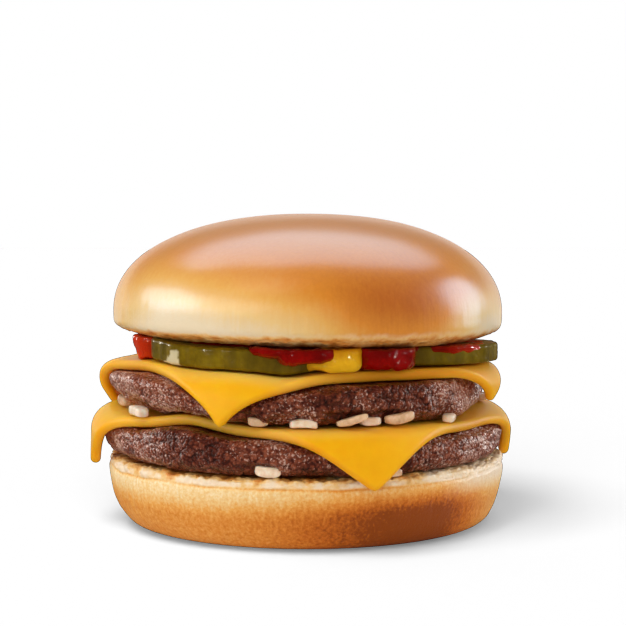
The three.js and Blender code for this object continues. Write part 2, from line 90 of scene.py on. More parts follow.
def noise(points):
    # value noise from 0 to 1: the hashed corners of a unit cell, blended by a smooth step on each axis
    cell = np.floor(points)
    part = ease(points - cell, 0, 1)
    total = 0
    for corner in np.ndindex(2, 2, 2):
        i, j, k = (cell[..., axis] + corner[axis] for axis in range(3))
        wave = np.sin(i * cornerHash[0] + j * cornerHash[1] + k * cornerHash[2]) * hashSpread
        weight = 1
        for axis in range(3):
            weight = weight * (part[..., axis] if corner[axis] else 1 - part[..., axis])
        total = total + (wave % 1) * weight
    return total


def fractal(points, size, octaves=3, seed=0.0):
    # octaves of noise, each half as large and half as high as the last, scaled to run from -1 to 1
    total, height, full = 0, 1.0, 0.0
    place = points / np.array(size) + seed
    for _ in range(octaves):
        total = total + height * (2 * noise(place) - 1)
        full += height
        height /= 2
        place = place[..., [1, 2, 0]] * 2 + 5.3
    return total / full


def bumps(points, specs):
    # sum of height * fractal noise of a size in millimetres, in two octaves
    return sum(height * fractal(points, size, 2, seed) for height, size, seed in specs)


def grains(points, size, seed=0.0):
    # distance to the nearest and the next of one random point per cube, in cubes of the given size
    place = points / size + seed
    base = np.floor(place)
    nearest = np.full(place.shape[:-1], 9.0)
    second = nearest.copy()
    for step in np.ndindex(3, 3, 3):
        cell = base + np.array(step) - 1
        spot = cell + (np.sin(cell @ cellHash) * hashSpread) % 1
        away = np.linalg.norm(spot - place, axis=-1)
        second = np.minimum(second, np.maximum(nearest, away))
        nearest = np.minimum(nearest, away)
    return nearest, second


def alongProfile(points, rows):
    # a profile of [radius, height] resampled to rows points at even steps of its own length
    points = np.array(points, float)
    length = np.r_[0, np.cumsum(np.linalg.norm(np.diff(points, axis=0), axis=1))]
    steps = np.linspace(0, length[-1], rows)
    return np.stack([np.interp(steps, length, points[:, axis]) for axis in (0, 1)], axis=1)


def joined(*stretches):
    # profiles end to end, without their shared points
    return np.concatenate([stretches[0]] + [each[1:] for each in stretches[1:]])


def spline(points, steps=12):
    # a smooth curve through points: one cubic between each pair, its end slopes taken from the neighbours
    points = np.array(points, float)
    ends = np.concatenate([[points[0]], points, [points[-1]]])
    t = np.linspace(0, 1, steps, endpoint=False)[:, None]
    pieces = []
    for a, b, c, d in zip(ends, ends[1:], ends[2:], ends[3:]):
        v, w = (c - a) / 2, (d - b) / 2
        pieces.append((2 * b - 2 * c + v + w) * t**3 + (-3 * b + 3 * c - 2 * v - w) * t**2 + v * t + b)
    return np.concatenate(pieces + [points[-1:]])


def turned(profile, segments):
    # revolves a profile: rows of rings, with the azimuth of each point
    azimuth = np.arange(segments) * 360 / segments
    hx, hy = heading(azimuth)
    radius, height = profile[:, :1], profile[:, 1:]
    rings = np.stack([radius * hx, radius * hy, np.broadcast_to(height, (len(profile), segments))], axis=-1)
    return rings, np.broadcast_to(azimuth, rings.shape[:2])


def outwards(rings):
    # unit normals of rings that run anticlockwise and upwards: the way round crossed with the way up
    around = np.roll(rings, -1, axis=1) - np.roll(rings, 1, axis=1)
    across = np.cross(around, np.gradient(rings, axis=0))
    return across / (np.linalg.norm(across, axis=-1, keepdims=True) + 1e-12)


dressed = {}  # every piece made, by name


def addMesh(name, points, faces, material, nodes, values):
    # one smooth mesh in metres, with a number per point for each named value
    mesh = bpy.data.meshes.new(name)
    mesh.from_pydata((points * mm).tolist(), [], faces)
    mesh.update()
    for label, numbers in values.items():
        attribute = mesh.attributes.new(label, "FLOAT", "POINT")
        attribute.data.foreach_set("value", np.ascontiguousarray(numbers, dtype=np.float32).ravel())
    mesh.shade_smooth()
    mesh.materials.append(material)
    piece = bpy.data.objects.new(name, mesh)
    bpy.context.scene.collection.objects.link(piece)
    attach(piece, "root")
    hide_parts(*nodes)
    dressed[name] = piece


def ringFaces(rows, columns, start=0):
    # quads between rings, and a fan to a pole at each end; the poles come after the rings
    i, j = np.meshgrid(np.arange(rows - 1), np.arange(columns), indexing="ij")
    a, b = i * columns + j, i * columns + (j + 1) % columns
    quads = np.stack([a, b, b + columns, a + columns], axis=-1).reshape(-1, 4) + start
    k = np.arange(columns)
    ahead = (k + 1) % columns
    low, high = start + rows * columns, start + rows * columns + 1
    bottom = np.stack([np.full(columns, low), start + ahead, start + k], axis=-1)
    last = start + (rows - 1) * columns
    top = np.stack([np.full(columns, high), last + k, last + ahead], axis=-1)
    return quads.tolist() + bottom.tolist() + top.tolist()


def withPoles(grid):
    # a grid's values as a list, followed by the means of its first and last rings
    flat = grid.reshape(-1, *grid.shape[2:])
    return np.concatenate([flat, grid[:1].mean(axis=1), grid[-1:].mean(axis=1)])


def ringPiece(name, rings, material, nodes, values):
    # rings of points as one closed mesh, with a pole in the middle of its first and last ring
    faces = ringFaces(*rings.shape[:2])
    lists = {label: withPoles(grid) for label, grid in values.items()}
    addMesh(name, withPoles(rings), faces, material, nodes, lists)


def linear(text):
    # an sRGB hex colour as linear red, green, blue and 1
    parts = [int(text[i : i + 2], 16) / 255 for i in (1, 3, 5)]
    return [c / 12.92 if c <= 0.04045 else ((c + 0.055) / 1.055) ** 2.4 for c in parts] + [1]


def node(tree, kind, inputs=None, stops=(), **settings):
    # adds a node with its settings, its ramp's stops, and its inputs: values, hex colours, or links from a
    # socket or from another node's first output
    made = tree.nodes.new("ShaderNode" + kind)
    for name, setting in settings.items():
        setattr(made, name, setting)
    while stops and len(made.color_ramp.elements) < len(stops):
        made.color_ramp.elements.new(1)
    for k, (place, text) in enumerate(stops):
        made.color_ramp.elements[k].position = place
        made.color_ramp.elements[k].color = linear(text)
    for name, given in (inputs or {}).items():
        if isinstance(given, bpy.types.Node):
            given = given.outputs[0]
        if isinstance(given, bpy.types.NodeSocket):
            tree.links.new(given, made.inputs[name])
        else:
            made.inputs[name].default_value = linear(given) if isinstance(given, str) else given
    return made


lowColour, highColour, mixedColour = 6, 7, 2  # a Mix node's sockets for colours


def newMaterial(name):
    # an empty node material and its tree
    material = bpy.data.materials.new(name)
    material.use_nodes = True
    material.node_tree.nodes.clear()
    return material, material.node_tree


def inMillimetres(tree):
    # a point's place in millimetres, on which a pattern whose scale is 1 / size has features of that size
    place = node(tree, "TexCoord").outputs["Object"]
    return node(tree, "Mapping", {"Vector": place, "Scale": (1 / mm, 1 / mm, 1 / mm)})


# Soft enriched bread with an egg glaze, baked until golden: pale and floury low on the side, browner above,
# its open crumb toasted where it was cut. The glaze is a thin clear coat, so the crust itself stays dull.
def makeBreadMaterial(name, bread):
    material, tree = newMaterial(name)
    place = inMillimetres(tree)
    upright = node(tree, "Mapping", {"Vector": place, "Scale": (1, 1, 1 / 8)})
    fine = node(tree, "TexNoise", {"Vector": place, "Scale": 1 / 0.7, "Detail": 4, "Roughness": 0.6})
    broad = node(tree, "TexNoise", {"Vector": place, "Scale": 1 / 14, "Detail": 3})
    streaks = node(tree, "TexNoise", {"Vector": upright, "Scale": 1 / 0.8, "Detail": 2})
    singes = node(tree, "TexNoise", {"Vector": place, "Scale": 1 / 0.9, "Detail": 4})
    bake = node(tree, "Attribute", attribute_name="bake").outputs["Fac"]
    toast = node(tree, "Attribute", attribute_name="toast").outputs["Fac"]
    crest = node(tree, "Attribute", attribute_name="crest").outputs["Fac"]
    crumb = node(tree, "Attribute", attribute_name="crumb").outputs["Fac"]
    # each pattern goes from 0 to 1 about a half, so it shifts the bake and the toast both ways
    for pattern, share in ((fine, bread["grain"]), (broad, 0.1), (streaks, bread["streak"])):
        bake = node(tree, "Math", {0: pattern, 1: share, 2: bake}, operation="MULTIPLY_ADD")
        bake = node(tree, "Math", {0: bake, 1: share / 2}, operation="SUBTRACT")
    toast = node(tree, "Math", {0: singes, 1: 0.5, 2: toast}, operation="MULTIPLY_ADD")
    toast = node(tree, "Math", {0: toast, 1: 0.25}, operation="SUBTRACT")
    toastStops = [(0, "#F4DEC2"), (0.3, "#EFC27C"), (0.55, "#DC9040"), (0.8, "#A8581A"), (1, "#6E340E")]
    crust = node(tree, "ValToRGB", {"Fac": bake}, bread["stops"])
    toasted = node(tree, "ValToRGB", {"Fac": toast}, toastStops)
    # crest: on the crown the deeper glaze on top; on the heel a painted highlight high on the right
    crested = {0: crest, lowColour: crust, highColour: bread["crest"]}
    crust = node(tree, "Mix", crested, data_type="RGBA").outputs[mixedColour]
    cut = {0: crumb, lowColour: crust, highColour: toasted}
    skin = node(tree, "Bump", {"Height": fine, "Strength": 1, "Distance": bread["bump"] * mm})
    skin = node(tree, "Bump", {"Height": streaks, "Strength": 1, "Distance": 0.1 * mm, "Normal": skin})
    look = {
        "Base Color": node(tree, "Mix", cut, data_type="RGBA").outputs[mixedColour],
        "Roughness": 0.6,
        "Normal": skin,
        "Subsurface Weight": 0.1,
        "Subsurface Radius": (0.0015, 0.001, 0.0005),
        "Subsurface Scale": 1.0,
        "IOR": 1.45,
        "Specular IOR Level": bread["specular"],
        "Coat Weight": bread["glaze"],
        "Coat Roughness": 0.26,
        "Coat IOR": 2.0,
    }
    node(tree, "OutputMaterial", {"Surface": node(tree, "BsdfPrincipled", look)})
    return material


# What the stack's heights follow from; swells and pale stretches are bells of the azimuth.
lowerPatty = {
    "centre": (-1.1, 0),
    "radius": 49.4,
    "waver": [(0.25, 3, 1), (0.2, 7, 0)],
    "undercut": {"round": 0.4, "left": 1.8, "right": 0},
    "taper": 0,
    "bottom": 17.3,
    "top": 25.1,
    # azimuth, half-width and height of each swell of the top
    "swells": [(-37, 13, 1.8), (-88, 20, 0.9), (57, 14, -0.8), (98, 20, 0.7)],
    # azimuth, half-width and strength of each stretch painted paler, mostly as painted light where the side
    # lights fall
    "pale": [(-72, 30, 1), (-8, 12, 0.5), (62, 22, 0.8), (150, 40, 0.6), (215, 30, 0.4)],
}
upperPatty = {
    "centre": (-2.4, 0),
    "radius": 47.6,
    "waver": [(0.3, 2, 2.2), (0.2, 6, 1)],
    "undercut": {"round": 0.4, "left": 6, "right": 2.4},
    "taper": 3,
    "top": 37.1,
    "swells": [(-56, 17, 0.9), (-3, 9, -1), (105, 22, -0.9), (-108, 24, -0.8)],
    "pale": [(-58, 36, 1.1), (66, 22, 1), (150, 40, 0.6), (215, 30, 0.4)],
}
cheeseThick = 2.4
crownUnderside, crownLean = 45.6, 0.018  # its height on the axis, and how much it sinks towards +X


def pattyTop(patty, x, y):
    # the top's height plus its swells, which rise between 16 and 40 mm out
    px, py = x - patty["centre"][0], y - patty["centre"][1]
    return patty["top"] + ease(np.hypot(px, py), 16, 40) * bells(azimuthOf(px, py), patty["swells"])


# Each of the next functions gives a face's height over a point: a patty's top, the slice that lies on it,
# and the crown's underside, which is a tilted plane.
def lowerTop(x, y):
    return pattyTop(lowerPatty, x, y)


def upperTop(x, y):
    return pattyTop(upperPatty, x, y)


def lowerCheeseTop(x, y):
    return lowerTop(x, y) + touch + cheeseThick


def upperCheeseTop(x, y):
    return upperTop(x, y) + touch + cheeseThick


def crownUnder(x, y):
    return crownUnderside - crownLean * x


crown = {
    "radius": 47.5,
    "widest": 51.3,  # height of the widest ring
    "top": 75,
    "turnedUp": 3.4,  # from the outline to where the underside turns up
    "domePower": 2.17,  # superellipse exponents of the dome and of the skirt under the widest ring
    "skirtPower": 5.5,
    "waver": [(0.14, 2, 0.5), (0.1, 3, 2)],
    "rows": (14, 34, 96),  # of the underside, the skirt and the dome
    "segments": 560,
    # height, size and seed of the unevenness and of the upright wrinkles low on the side
    "unevenness": [(0.3, 19, 1.7)],
    "wrinkles": [(0.1, (1.6, 9, 1), 3.1)],
    "fringe": 0.9,  # height and size of the torn crumbs along the cut rim
    "fringeSize": 1.3,
    "baked": 0.56,  # from 0, raw, to 1, darkest
    "paleness": 0.16,  # low on the side, all round
    "paleHeights": (47, 61),  # between which the side goes from pale to baked
    "brownHeight": (54, 9),  # middle and half-height of the brownest stretch
    # azimuth, half-width and strength of each stretch that is paler still, of where that reaches higher up,
    # and of the brownest stretch
    "pale": [(-40, 26, 0.5), (-5, 18, 0.26), (64, 18, 0.44), (160, 50, 0.3)],
    "paleRise": [(-58, 40, 6)],
    "brown": [(25, 26, 0.34)],
    # colours from unbaked to darkest; grain and streak are shares of that range, bump is in millimetres
    "stops": [
        (0, "#E8D4B2"),
        (0.2, "#EBC47F"),
        (0.42, "#E8AC50"),
        (0.62, "#DC8820"),
        (0.82, "#BA620E"),
        (1, "#8C470C"),
    ],
    "grain": 0.08,
    "streak": 0.08,
    "bump": 0.06,
    "specular": 0.15,
    "glaze": 0.8,
    "crest": "#CE8A46",  # the glaze gone deeper on top of the dome
}


def quarter(radius, height, power, steps=120):
    # superellipse quarter: radius * cos^(2/power), height * sin^(2/power)
    turn = np.linspace(0, math.pi / 2, steps)
    return np.stack([radius * np.cos(turn) ** (2 / power), height * np.sin(turn) ** (2 / power)], axis=1)


def crownBake(azimuth, height):
    # a level bake, less a paleness that fades upwards, plus a bell of height on the brownest stretch
    paleness = crown["paleness"] + bells(azimuth, crown["pale"])
    low, high = crown["paleHeights"]
    high = high + bells(azimuth, crown["paleRise"])
    bake = crown["baked"] - paleness * (1 - ease(height, low, high)) + 0.06 * ease(height, 60, 68)
    middle, half = crown["brownHeight"]
    return bake + bells(azimuth, crown["brown"]) * np.exp(-(((height - middle) / half) ** 2))


def makeCrown():
    # superellipse dome over a short skirt, revolved, leaning below its widest ring, then roughened
    radius, widest, inner = crown["radius"], crown["widest"], crown["radius"] - crown["turnedUp"]
    skirt = quarter(radius, widest - crownUnderside, crown["skirtPower"]) * (1, -1) + (0, widest)
    skirt = skirt[::-1]
    skirt = skirt[skirt[:, 0] > inner]
    dome = quarter(radius, crown["top"] - widest, crown["domePower"]) + (0, widest)
    flatRows, skirtRows, domeRows = crown["rows"]
    flat = alongProfile([(1, crownUnderside), (inner, crownUnderside), skirt[0]], flatRows)
    profile = joined(flat, alongProfile(skirt, skirtRows), alongProfile(dome[:-1], domeRows))
    rings, azimuth = turned(profile, crown["segments"])
    fullness = 1 + wavering(crown["waver"], azimuth) / radius
    low = 1 - ease(rings[..., 2], crownUnderside, widest)
    rings = rings * np.stack([fullness, fullness, np.ones_like(fullness)], axis=-1)
    rings[..., 2] -= low * crownLean * rings[..., 0]
    height = rings[..., 2] + crownLean * rings[..., 0] * low
    side = ease(np.hypot(rings[..., 0], rings[..., 1]), 30, 44)
    lower = 1 - ease(height, crownUnderside + 2, 60)
    around = np.stack([azimuth * radius * math.pi / 180, height, np.zeros_like(height)], axis=-1)
    rim = np.exp(-(((height - crownUnderside - 0.6) / 0.9) ** 2)) * ease(side, 0.9, 1)
    crumbs, _ = grains(rings, crown["fringeSize"], 2.7)
    relief = bumps(rings, crown["unevenness"]) * (0.4 + 0.6 * side)
    relief += bumps(around, crown["wrinkles"]) * lower * side
    relief += crown["fringe"] * (0.55 - crumbs) * rim
    rings = rings + outwards(rings) * relief[..., None]
    ragged = 0.7 * fractal(rings, 1.7, 3, 8.2)
    under = 1 - ease(height + ragged, crownUnderside + 1.6, crownUnderside + 3.4)
    toast = under * (0.5 + 0.3 * fractal(rings, 2.2, 2, 8.2))
    crest = 0.5 * ease(height, 63, 71)
    values = {"bake": crownBake(azimuth, height), "toast": toast, "crumb": under, "crest": crest}
    material = makeBreadMaterial("glazedCrownCrust", crown)
    ringPiece("crownBread", rings, material, ["crown"], values)
    print("crown", rings.shape)


heel = {
    "footRadius": 39,
    "faceRadius": 46,
    "height": 17,
    "side": [(43.2, 1), (45.7, 3.8), (47.2, 7.4), (48.1, 11.2), (48.4, 13.6), (48.3, 15.4), (47.8, 16.6)],
    "sideways": -0.6,
    "waver": [(0.25, 2, 0.7), (0.2, 5, 0)],
    "rows": (6, 118, 26),  # of the foot, the side and the cut face
    "segments": 560,
    "crease": 14.7,  # height of the groove under the cut edge
    "creaseDepth": 0.8,
    "creaseWaver": [(0.5, 9, 4.4)],  # height, size in degrees and seed
    "crumbDepth": 0.7,
    "crumbSize": 1.5,
    "unevenness": [(0.25, 15, 3.3)],
    "wrinkles": [(0.2, (1.3, 6, 1), 9.7)],
    "baked": 0.12,
    "footBaked": 0.42,  # more than the rest
    "bandHeights": (10.8, 11.6),  # on the left and the right, where the brown foot fades to the pale band
    # brownest stretch, low on the front right: baked crust, partly painted shade of the underside
    "brown": [(31, 27, 0.44)],
    # as on the crown
    "stops": [
        (0, "#FBE6BC"),
        (0.2, "#F3CC8A"),
        (0.42, "#EBA852"),
        (0.62, "#DC862C"),
        (0.82, "#C26410"),
        (1, "#934404"),
    ],
    "grain": 0.6,
    "streak": 0.25,
    "bump": 0.25,
    "specular": 0.2,
    "glaze": 0.1,
    "crest": "#EBD2BE",  # painted highlight high on the right, where the light from the right falls
}


def heelBake(azimuth, towards, height):
    # brown round the foot and to the front right, pale in a band above, and paler on the far right as
    # painted light
    band = mix(*heel["bandHeights"], ease(towards, -0.6, 0.6))
    bake = heel["baked"] + heel["footBaked"] * (1 - ease(height, band - 4, band + 3))
    bake = bake + 0.12 * ease(towards, -0.7, 0.3)
    # the brownest stretch, low down, is partly painted shade of the underside
    bake = bake + bells(azimuth, heel["brown"]) * (1 - ease(height, 9, 17))
    # the far right is made paler, as painted light from the right
    return bake - 0.25 * ease(towards, 0.62, 0.95)


def makeHeel():
    # a bulging side through the same points as the solid, with a crease and a torn crumb edge above it
    wall = spline([(heel["footRadius"], 0)] + heel["side"] + [(heel["faceRadius"], heel["height"])])
    footRows, wallRows, faceRows = heel["rows"]
    foot = alongProfile([(1, 0), wall[0]], footRows)
    face = alongProfile([wall[-1], (1, heel["height"])], faceRows)
    profile = joined(foot, alongProfile(wall, wallRows), face)
    rings, azimuth = turned(profile, heel["segments"])
    height = rings[..., 2].copy()
    towards = np.sin(np.radians(azimuth))  # -1 on the left and 1 on the right
    out = wavering(heel["waver"], azimuth) + heel["sideways"] * towards
    radius = np.hypot(rings[..., 0], rings[..., 1])
    grow = 1 + ease(height, 0, 8) * out / radius * ease(radius, 20, 40)
    rings = rings * np.stack([grow, grow, np.ones_like(grow)], axis=-1)
    turn = np.stack([azimuth, azimuth * 0, azimuth * 0], axis=-1)
    crease = heel["crease"] + bumps(turn, heel["creaseWaver"])
    torn = ease(height, crease, crease + 0.7) * ease(radius, 30, 44)
    groove = np.exp(-(((height - crease) / 0.3) ** 2)) * (0.7 + 0.3 * fractal(rings, 7, 2, 6.1))
    crumbs, crumbNext = grains(rings, heel["crumbSize"], 5.1)
    pores = ease(crumbNext - crumbs, 0, 0.45)
    around = np.stack([azimuth * heel["footRadius"] * math.pi / 180, height, azimuth * 0], axis=-1)
    side = ease(height, 1, 4) * (1 - ease(height, crease - 1, crease))
    relief = bumps(rings, heel["unevenness"]) * ease(height, 0.5, 3)
    relief -= heel["creaseDepth"] * groove * side.clip(0.5)
    relief += heel["crumbDepth"] * torn * (fractal(rings, 2.4, 3, 2.2) - 0.4 + 0.5 * pores)
    relief += bumps(around, heel["wrinkles"]) * side
    rings = rings + outwards(rings) * relief[..., None]
    rings[..., 2] = rings[..., 2].clip(0, heel["height"] + 0.2)
    # the crease is also painted darker, as painted shade, except on the right
    bake = heelBake(azimuth, towards, height) + 0.3 * groove * (1 - ease(towards, 0.3, 0.7))
    # a painted highlight, pinkish white, high on the right where the light from the right falls
    floured = 0.6 * ease(towards, 0.6, 0.85) * ease(height, 10, 14.5)
    # the torn crumb is toasted less towards the right, as painted light from the right
    brown = 1 - 0.75 * ease(towards, 0.3, 0.7)
    toast = 0.2 * brown + brown * (0.8 * fractal(rings, 4.5, 3, 7.7) + 0.35 * ease(height, 15.8, 17))
    values = {"bake": bake, "toast": toast.clip(0, 1), "crumb": torn, "crest": floured}
    material = makeBreadMaterial("bakedHeelCrust", heel)
    ringPiece("heelBread", rings, material, ["heel"], values)
    print("heel", rings.shape)


lowerSlice = {
    "patty": lowerPatty,
    "top": lowerTop,
    # azimuth, reach, fold, bend, hang, pinch, squeeze and blunt of each corner
    "corners": [
        (-82, 62.5, 46, 4.7, 89, 0.6, 0, 0.012),
        (18, 61.2, 44.2, 6.7, 78, 0, 0, 0.022),
        (94, 60.6, 44.8, 5, 87, 0.6, 0, 0.012),
        (190, 59.6, 44.6, 6.2, 80, 0.3, 0, 0.016),
    ],
    "bows": (3.4, -2.2, 1.5, 0),
    "seed": 1.3,
    "juiceAndShadeReach": 46.2,  # radius that the juice and painted shade of the patty above reach
    # azimuth, half-width and strength of each run of meat juice and painted shade
    "juiceAndShadeRuns": [(-42, 16, 1), (8, 34, 0.5), (150, 50, 0.8), (230, 30, 0.8)],
    # and of each stretch of edge darkened by painted shade and juice
    "edgeShadeAndJuice": [(4, 22, 0.35), (60, 14, 0.4), (200, 30, 0.3)],
}
upperSlice = {
    "patty": upperPatty,
    "top": upperTop,
    "corners": [
        (-106, 58.8, 43.8, 5.5, 101, 0.7, 0, 0.012),
        (-20, 56, 41.8, 6.1, 80, 1, 0.35, 0.002),
        (68, 55.8, 45.3, 4.1, 108, 0.8, 0, 0.012),
        (160, 56, 42.4, 6.3, 82, 0.3, 0.2, 0.016),
    ],
    "bows": (0, 1.8, 2.4, 2),
    "seed": 4.9,
    "juiceAndShadeReach": 47,
    "juiceAndShadeRuns": [(34, 24, 1), (170, 60, 0.5)],
    "edgeShadeAndJuice": [(32, 26, 0.8), (120, 20, 0.4)],
}
cheese = {
    "cells": 150,  # along a side of a slice
    "edgeSteps": 10,
    "edge": 1.15,  # how far the rounded edge reaches past the flat of a slice
    "halfSide": 43,
    "crowding": 0.12,  # of the cells towards the edges
    "tipPower": 9,  # the higher, the closer to its tip a corner is blunted
    "hangLength": 14,  # of the stretch over which a corner draws in
    # height and size of the dents past the fold and of the waves all over; share and size of the thinning
    "dents": (0.16, 9),
    "waves": (0.07, 16),
    "thinning": (0.08, 7),
    "juiceAndShadeBorder": (1.2, 6),  # height and size of the unevenness of where the juice and painted shade end
    "bloom": [(-15, 30, 0.65)],  # azimuth, half-width and strength of the painted sheen, the palest colour, on the folds
}


def flatSlice(piece, u, v):
    # the square's corners blended by u and v from -1 to 1, its sides bowed and its corners blunted
    tips = np.array([np.array(heading(azimuth)) * reach for azimuth, reach, *_ in piece["corners"]])
    s, t = (1 + u) / 2, (1 + v) / 2
    acrossU, acrossV = 1 - u * u, 1 - v * v
    bow = [acrossU * (1 - t) ** 2, acrossV * s**2, acrossU * t**2, acrossV * (1 - s) ** 2]
    shrink = 1
    for (p, q), (*_, blunt) in zip(((-u, -v), (u, -v), (u, v), (-u, v)), piece["corners"]):
        near = np.where((p > 0) & (q > 0), np.abs(p * q) ** cheese["tipPower"], 0)
        shrink = shrink - near * blunt
    x = mix(mix(tips[0, 0], tips[1, 0], s), mix(tips[3, 0], tips[2, 0], s), t)
    y = mix(mix(tips[0, 1], tips[1, 1], s), mix(tips[3, 1], tips[2, 1], s), t)
    for k in range(4):
        px, py = tips[(k + 1) % 4] - tips[k]
        length = math.hypot(px, py)
        x = x + bow[k] * py * piece["bows"][k] / length
        y = y - bow[k] * px * piece["bows"][k] / length
    return x * shrink, y * shrink


def drape(piece, x, y):
    # Past the fold circle a point follows a bend and then hangs straight, along its corner's axis near
    # the corner and radially half-way between two corners. Gives the middle surface's points.
    corner, _, *bends, squeeze, _ = np.array(piece["corners"]).T
    after = (azimuthOf(x, y)[..., None] - corner) % 360
    k = after.argmin(axis=-1)
    ahead = (k + 1) % 4
    half = ((corner[ahead] - corner[k]) % 360) / 2
    share = after.min(axis=-1) / half
    smooth = np.where(share < 1, share**2 / 2, 1 - (2 - share) ** 2 / 2)
    fold, bend, hang, pinch = (mix(each[k], each[ahead], smooth) for each in bends)
    near = np.where(share < 1, k, ahead)
    away = np.where(share < 1, share, share - 2)
    dx, dy = heading(corner[near] + half * away * mix(np.abs(away), 1, pinch))
    along = x * dx + y * dy
    past = along - np.sqrt(np.maximum(0, along**2 - (x * x + y * y - fold**2)))
    past = np.maximum(0, past)
    turn = np.minimum(past / bend, np.radians(hang))
    straight = np.maximum(0, past - bend * turn)
    out = bend * np.sin(turn) + straight * np.cos(turn) - past
    down = bend * (1 - np.cos(turn)) + straight * np.sin(turn)
    squeezed = squeeze[near] * half * away * (1 - np.abs(away))
    drawnIn = -np.radians(squeezed * ease(past, 0, cheese["hangLength"]))
    hx, hy = x + out * dx, y + out * dy
    px = hx * np.cos(drawnIn) - hy * np.sin(drawnIn)
    py = hx * np.sin(drawnIn) + hy * np.cos(drawnIn)
    cx, cy = piece["patty"]["centre"]
    z = piece["top"](cx + x - past * dx, cy + y - past * dy) + touch + cheeseThick / 2 - down
    return np.stack([cx + px, cy + py, z], axis=-1), past


def sliceSurface(piece, u, v):
    # middle surface and its unit normal, from central differences in u and v
    near = 0.01
    middle, past = drape(piece, *flatSlice(piece, u, v))
    slopes = []
    for du, dv in ((near, 0), (0, near)):
        ahead, _ = drape(piece, *flatSlice(piece, u + du, v + dv))
        behind, _ = drape(piece, *flatSlice(piece, u - du, v - dv))
        slopes.append(ahead - behind)
    normal = np.cross(*slopes)
    normal /= np.linalg.norm(normal, axis=-1, keepdims=True)
    return middle, normal, past


def sliceShell(piece):
    # The middle surface's grid, offset by half the thickness to an upper and a lower face, with half an
    # ellipse between them all round the rim. Gives the points, the faces, how far out on the edge each
    # point is, from 0 to 1, and how far past the fold.
    cells = cheese["cells"]
    steps = np.linspace(-1, 1, cells + 1)
    inset = 1 - cheese["edge"] / cheese["halfSide"]
    steps = inset * ((1 + cheese["crowding"]) * steps - cheese["crowding"] * steps**3)
    u, v = np.meshgrid(steps, steps, indexing="xy")
    middle, normal, past = sliceSurface(piece, u, v)
    dents = bumps(middle, [(*cheese["dents"], piece["seed"])]) * ease(past, -1, 5)
    dents = dents + bumps(middle, [(*cheese["waves"], piece["seed"] + 2)])
    middle = middle + normal * dents[..., None]
    half = cheeseThick / 2 * (1 + bumps(middle, [(*cheese["thinning"], piece["seed"] + 5)]))[..., None]
    row = cells + 1
    upper = (middle + normal * half).reshape(-1, 3)
    lower = (middle - normal * half).reshape(-1, 3)
    index = np.arange(row * row).reshape(row, row)
    rim = np.concatenate([index[0, :-1], index[:-1, -1], index[-1, :0:-1], index[:0:-1, 0]])
    flatMiddle, flatNormal = middle.reshape(-1, 3)[rim], normal.reshape(-1, 3)[rim]
    along = np.roll(flatMiddle, -1, axis=0) - np.roll(flatMiddle, 1, axis=0)
    outward = np.cross(along, flatNormal)
    outward /= np.linalg.norm(outward, axis=-1, keepdims=True)
    turns = np.linspace(math.pi / 2, -math.pi / 2, cheese["edgeSteps"] + 1)[1:-1]
    halfRim = half.reshape(-1, 1)[rim]
    strips = [
        flatMiddle + outward * cheese["edge"] * math.cos(turn) + flatNormal * halfRim * math.sin(turn)
        for turn in turns
    ]
    count = len(rim)
    under = row * row
    loops = [rim] + [2 * under + k * count + np.arange(count) for k in range(len(strips))] + [under + rim]
    a, b, c, d = index[:-1, :-1], index[:-1, 1:], index[1:, 1:], index[1:, :-1]
    top = np.stack([a, b, c, d], axis=-1).reshape(-1, 4)
    bottom = np.stack([a, d, c, b], axis=-1).reshape(-1, 4) + under
    walls = [
        np.stack([low, np.roll(low, -1), np.roll(high, -1), high], axis=-1)
        for high, low in zip(loops, loops[1:])
    ]
    faces = np.concatenate([top, bottom] + walls).tolist()
    points = np.concatenate([upper, lower] + strips)
    edge = np.r_[np.zeros(2 * under), np.repeat(np.cos(turns), count)]
    past = past.ravel()
    return points, faces, edge, np.r_[past, past, np.tile(past[rim], len(strips))]


def makeSlice(name, piece, material, nodeName):
    # the shell, with meat juice and painted shade on its upper face as far as the meat above wets it and on
    # stretches of its edge, and a painted sheen where it bends
    points, faces, edge, past = sliceShell(piece)
    around = azimuthOf(points[:, 0], points[:, 1])
    out = np.hypot(points[:, 0], points[:, 1]) + bumps(points, [(*cheese["juiceAndShadeBorder"], piece["seed"] + 8)])
    onTop = np.arange(len(points)) < (cheese["cells"] + 1) ** 2
    # darker orange for meat juice and for painted shade, under the patty above and on shaded stretches of
    # the edge
    juice = onTop * (1 - ease(out, piece["juiceAndShadeReach"], piece["juiceAndShadeReach"] + 2.6))
    juice = juice * bells(around, piece["juiceAndShadeRuns"]).clip(0, 1)
    juice = juice + edge * bells(around, piece["edgeShadeAndJuice"]).clip(0, 1)
    # painted sheen: paler colour where the slice bends, as a painted highlight, strongest on the front left
    bloom = ease(past, -3, 0.5) * (1 - ease(past, 2, 5.5)) * (0.35 + bells(around, cheese["bloom"]))
    values = {"edge": edge, "juice": juice, "bloom": bloom}
    addMesh(name, points, faces, material, [nodeName], values)
    print(name, len(points))


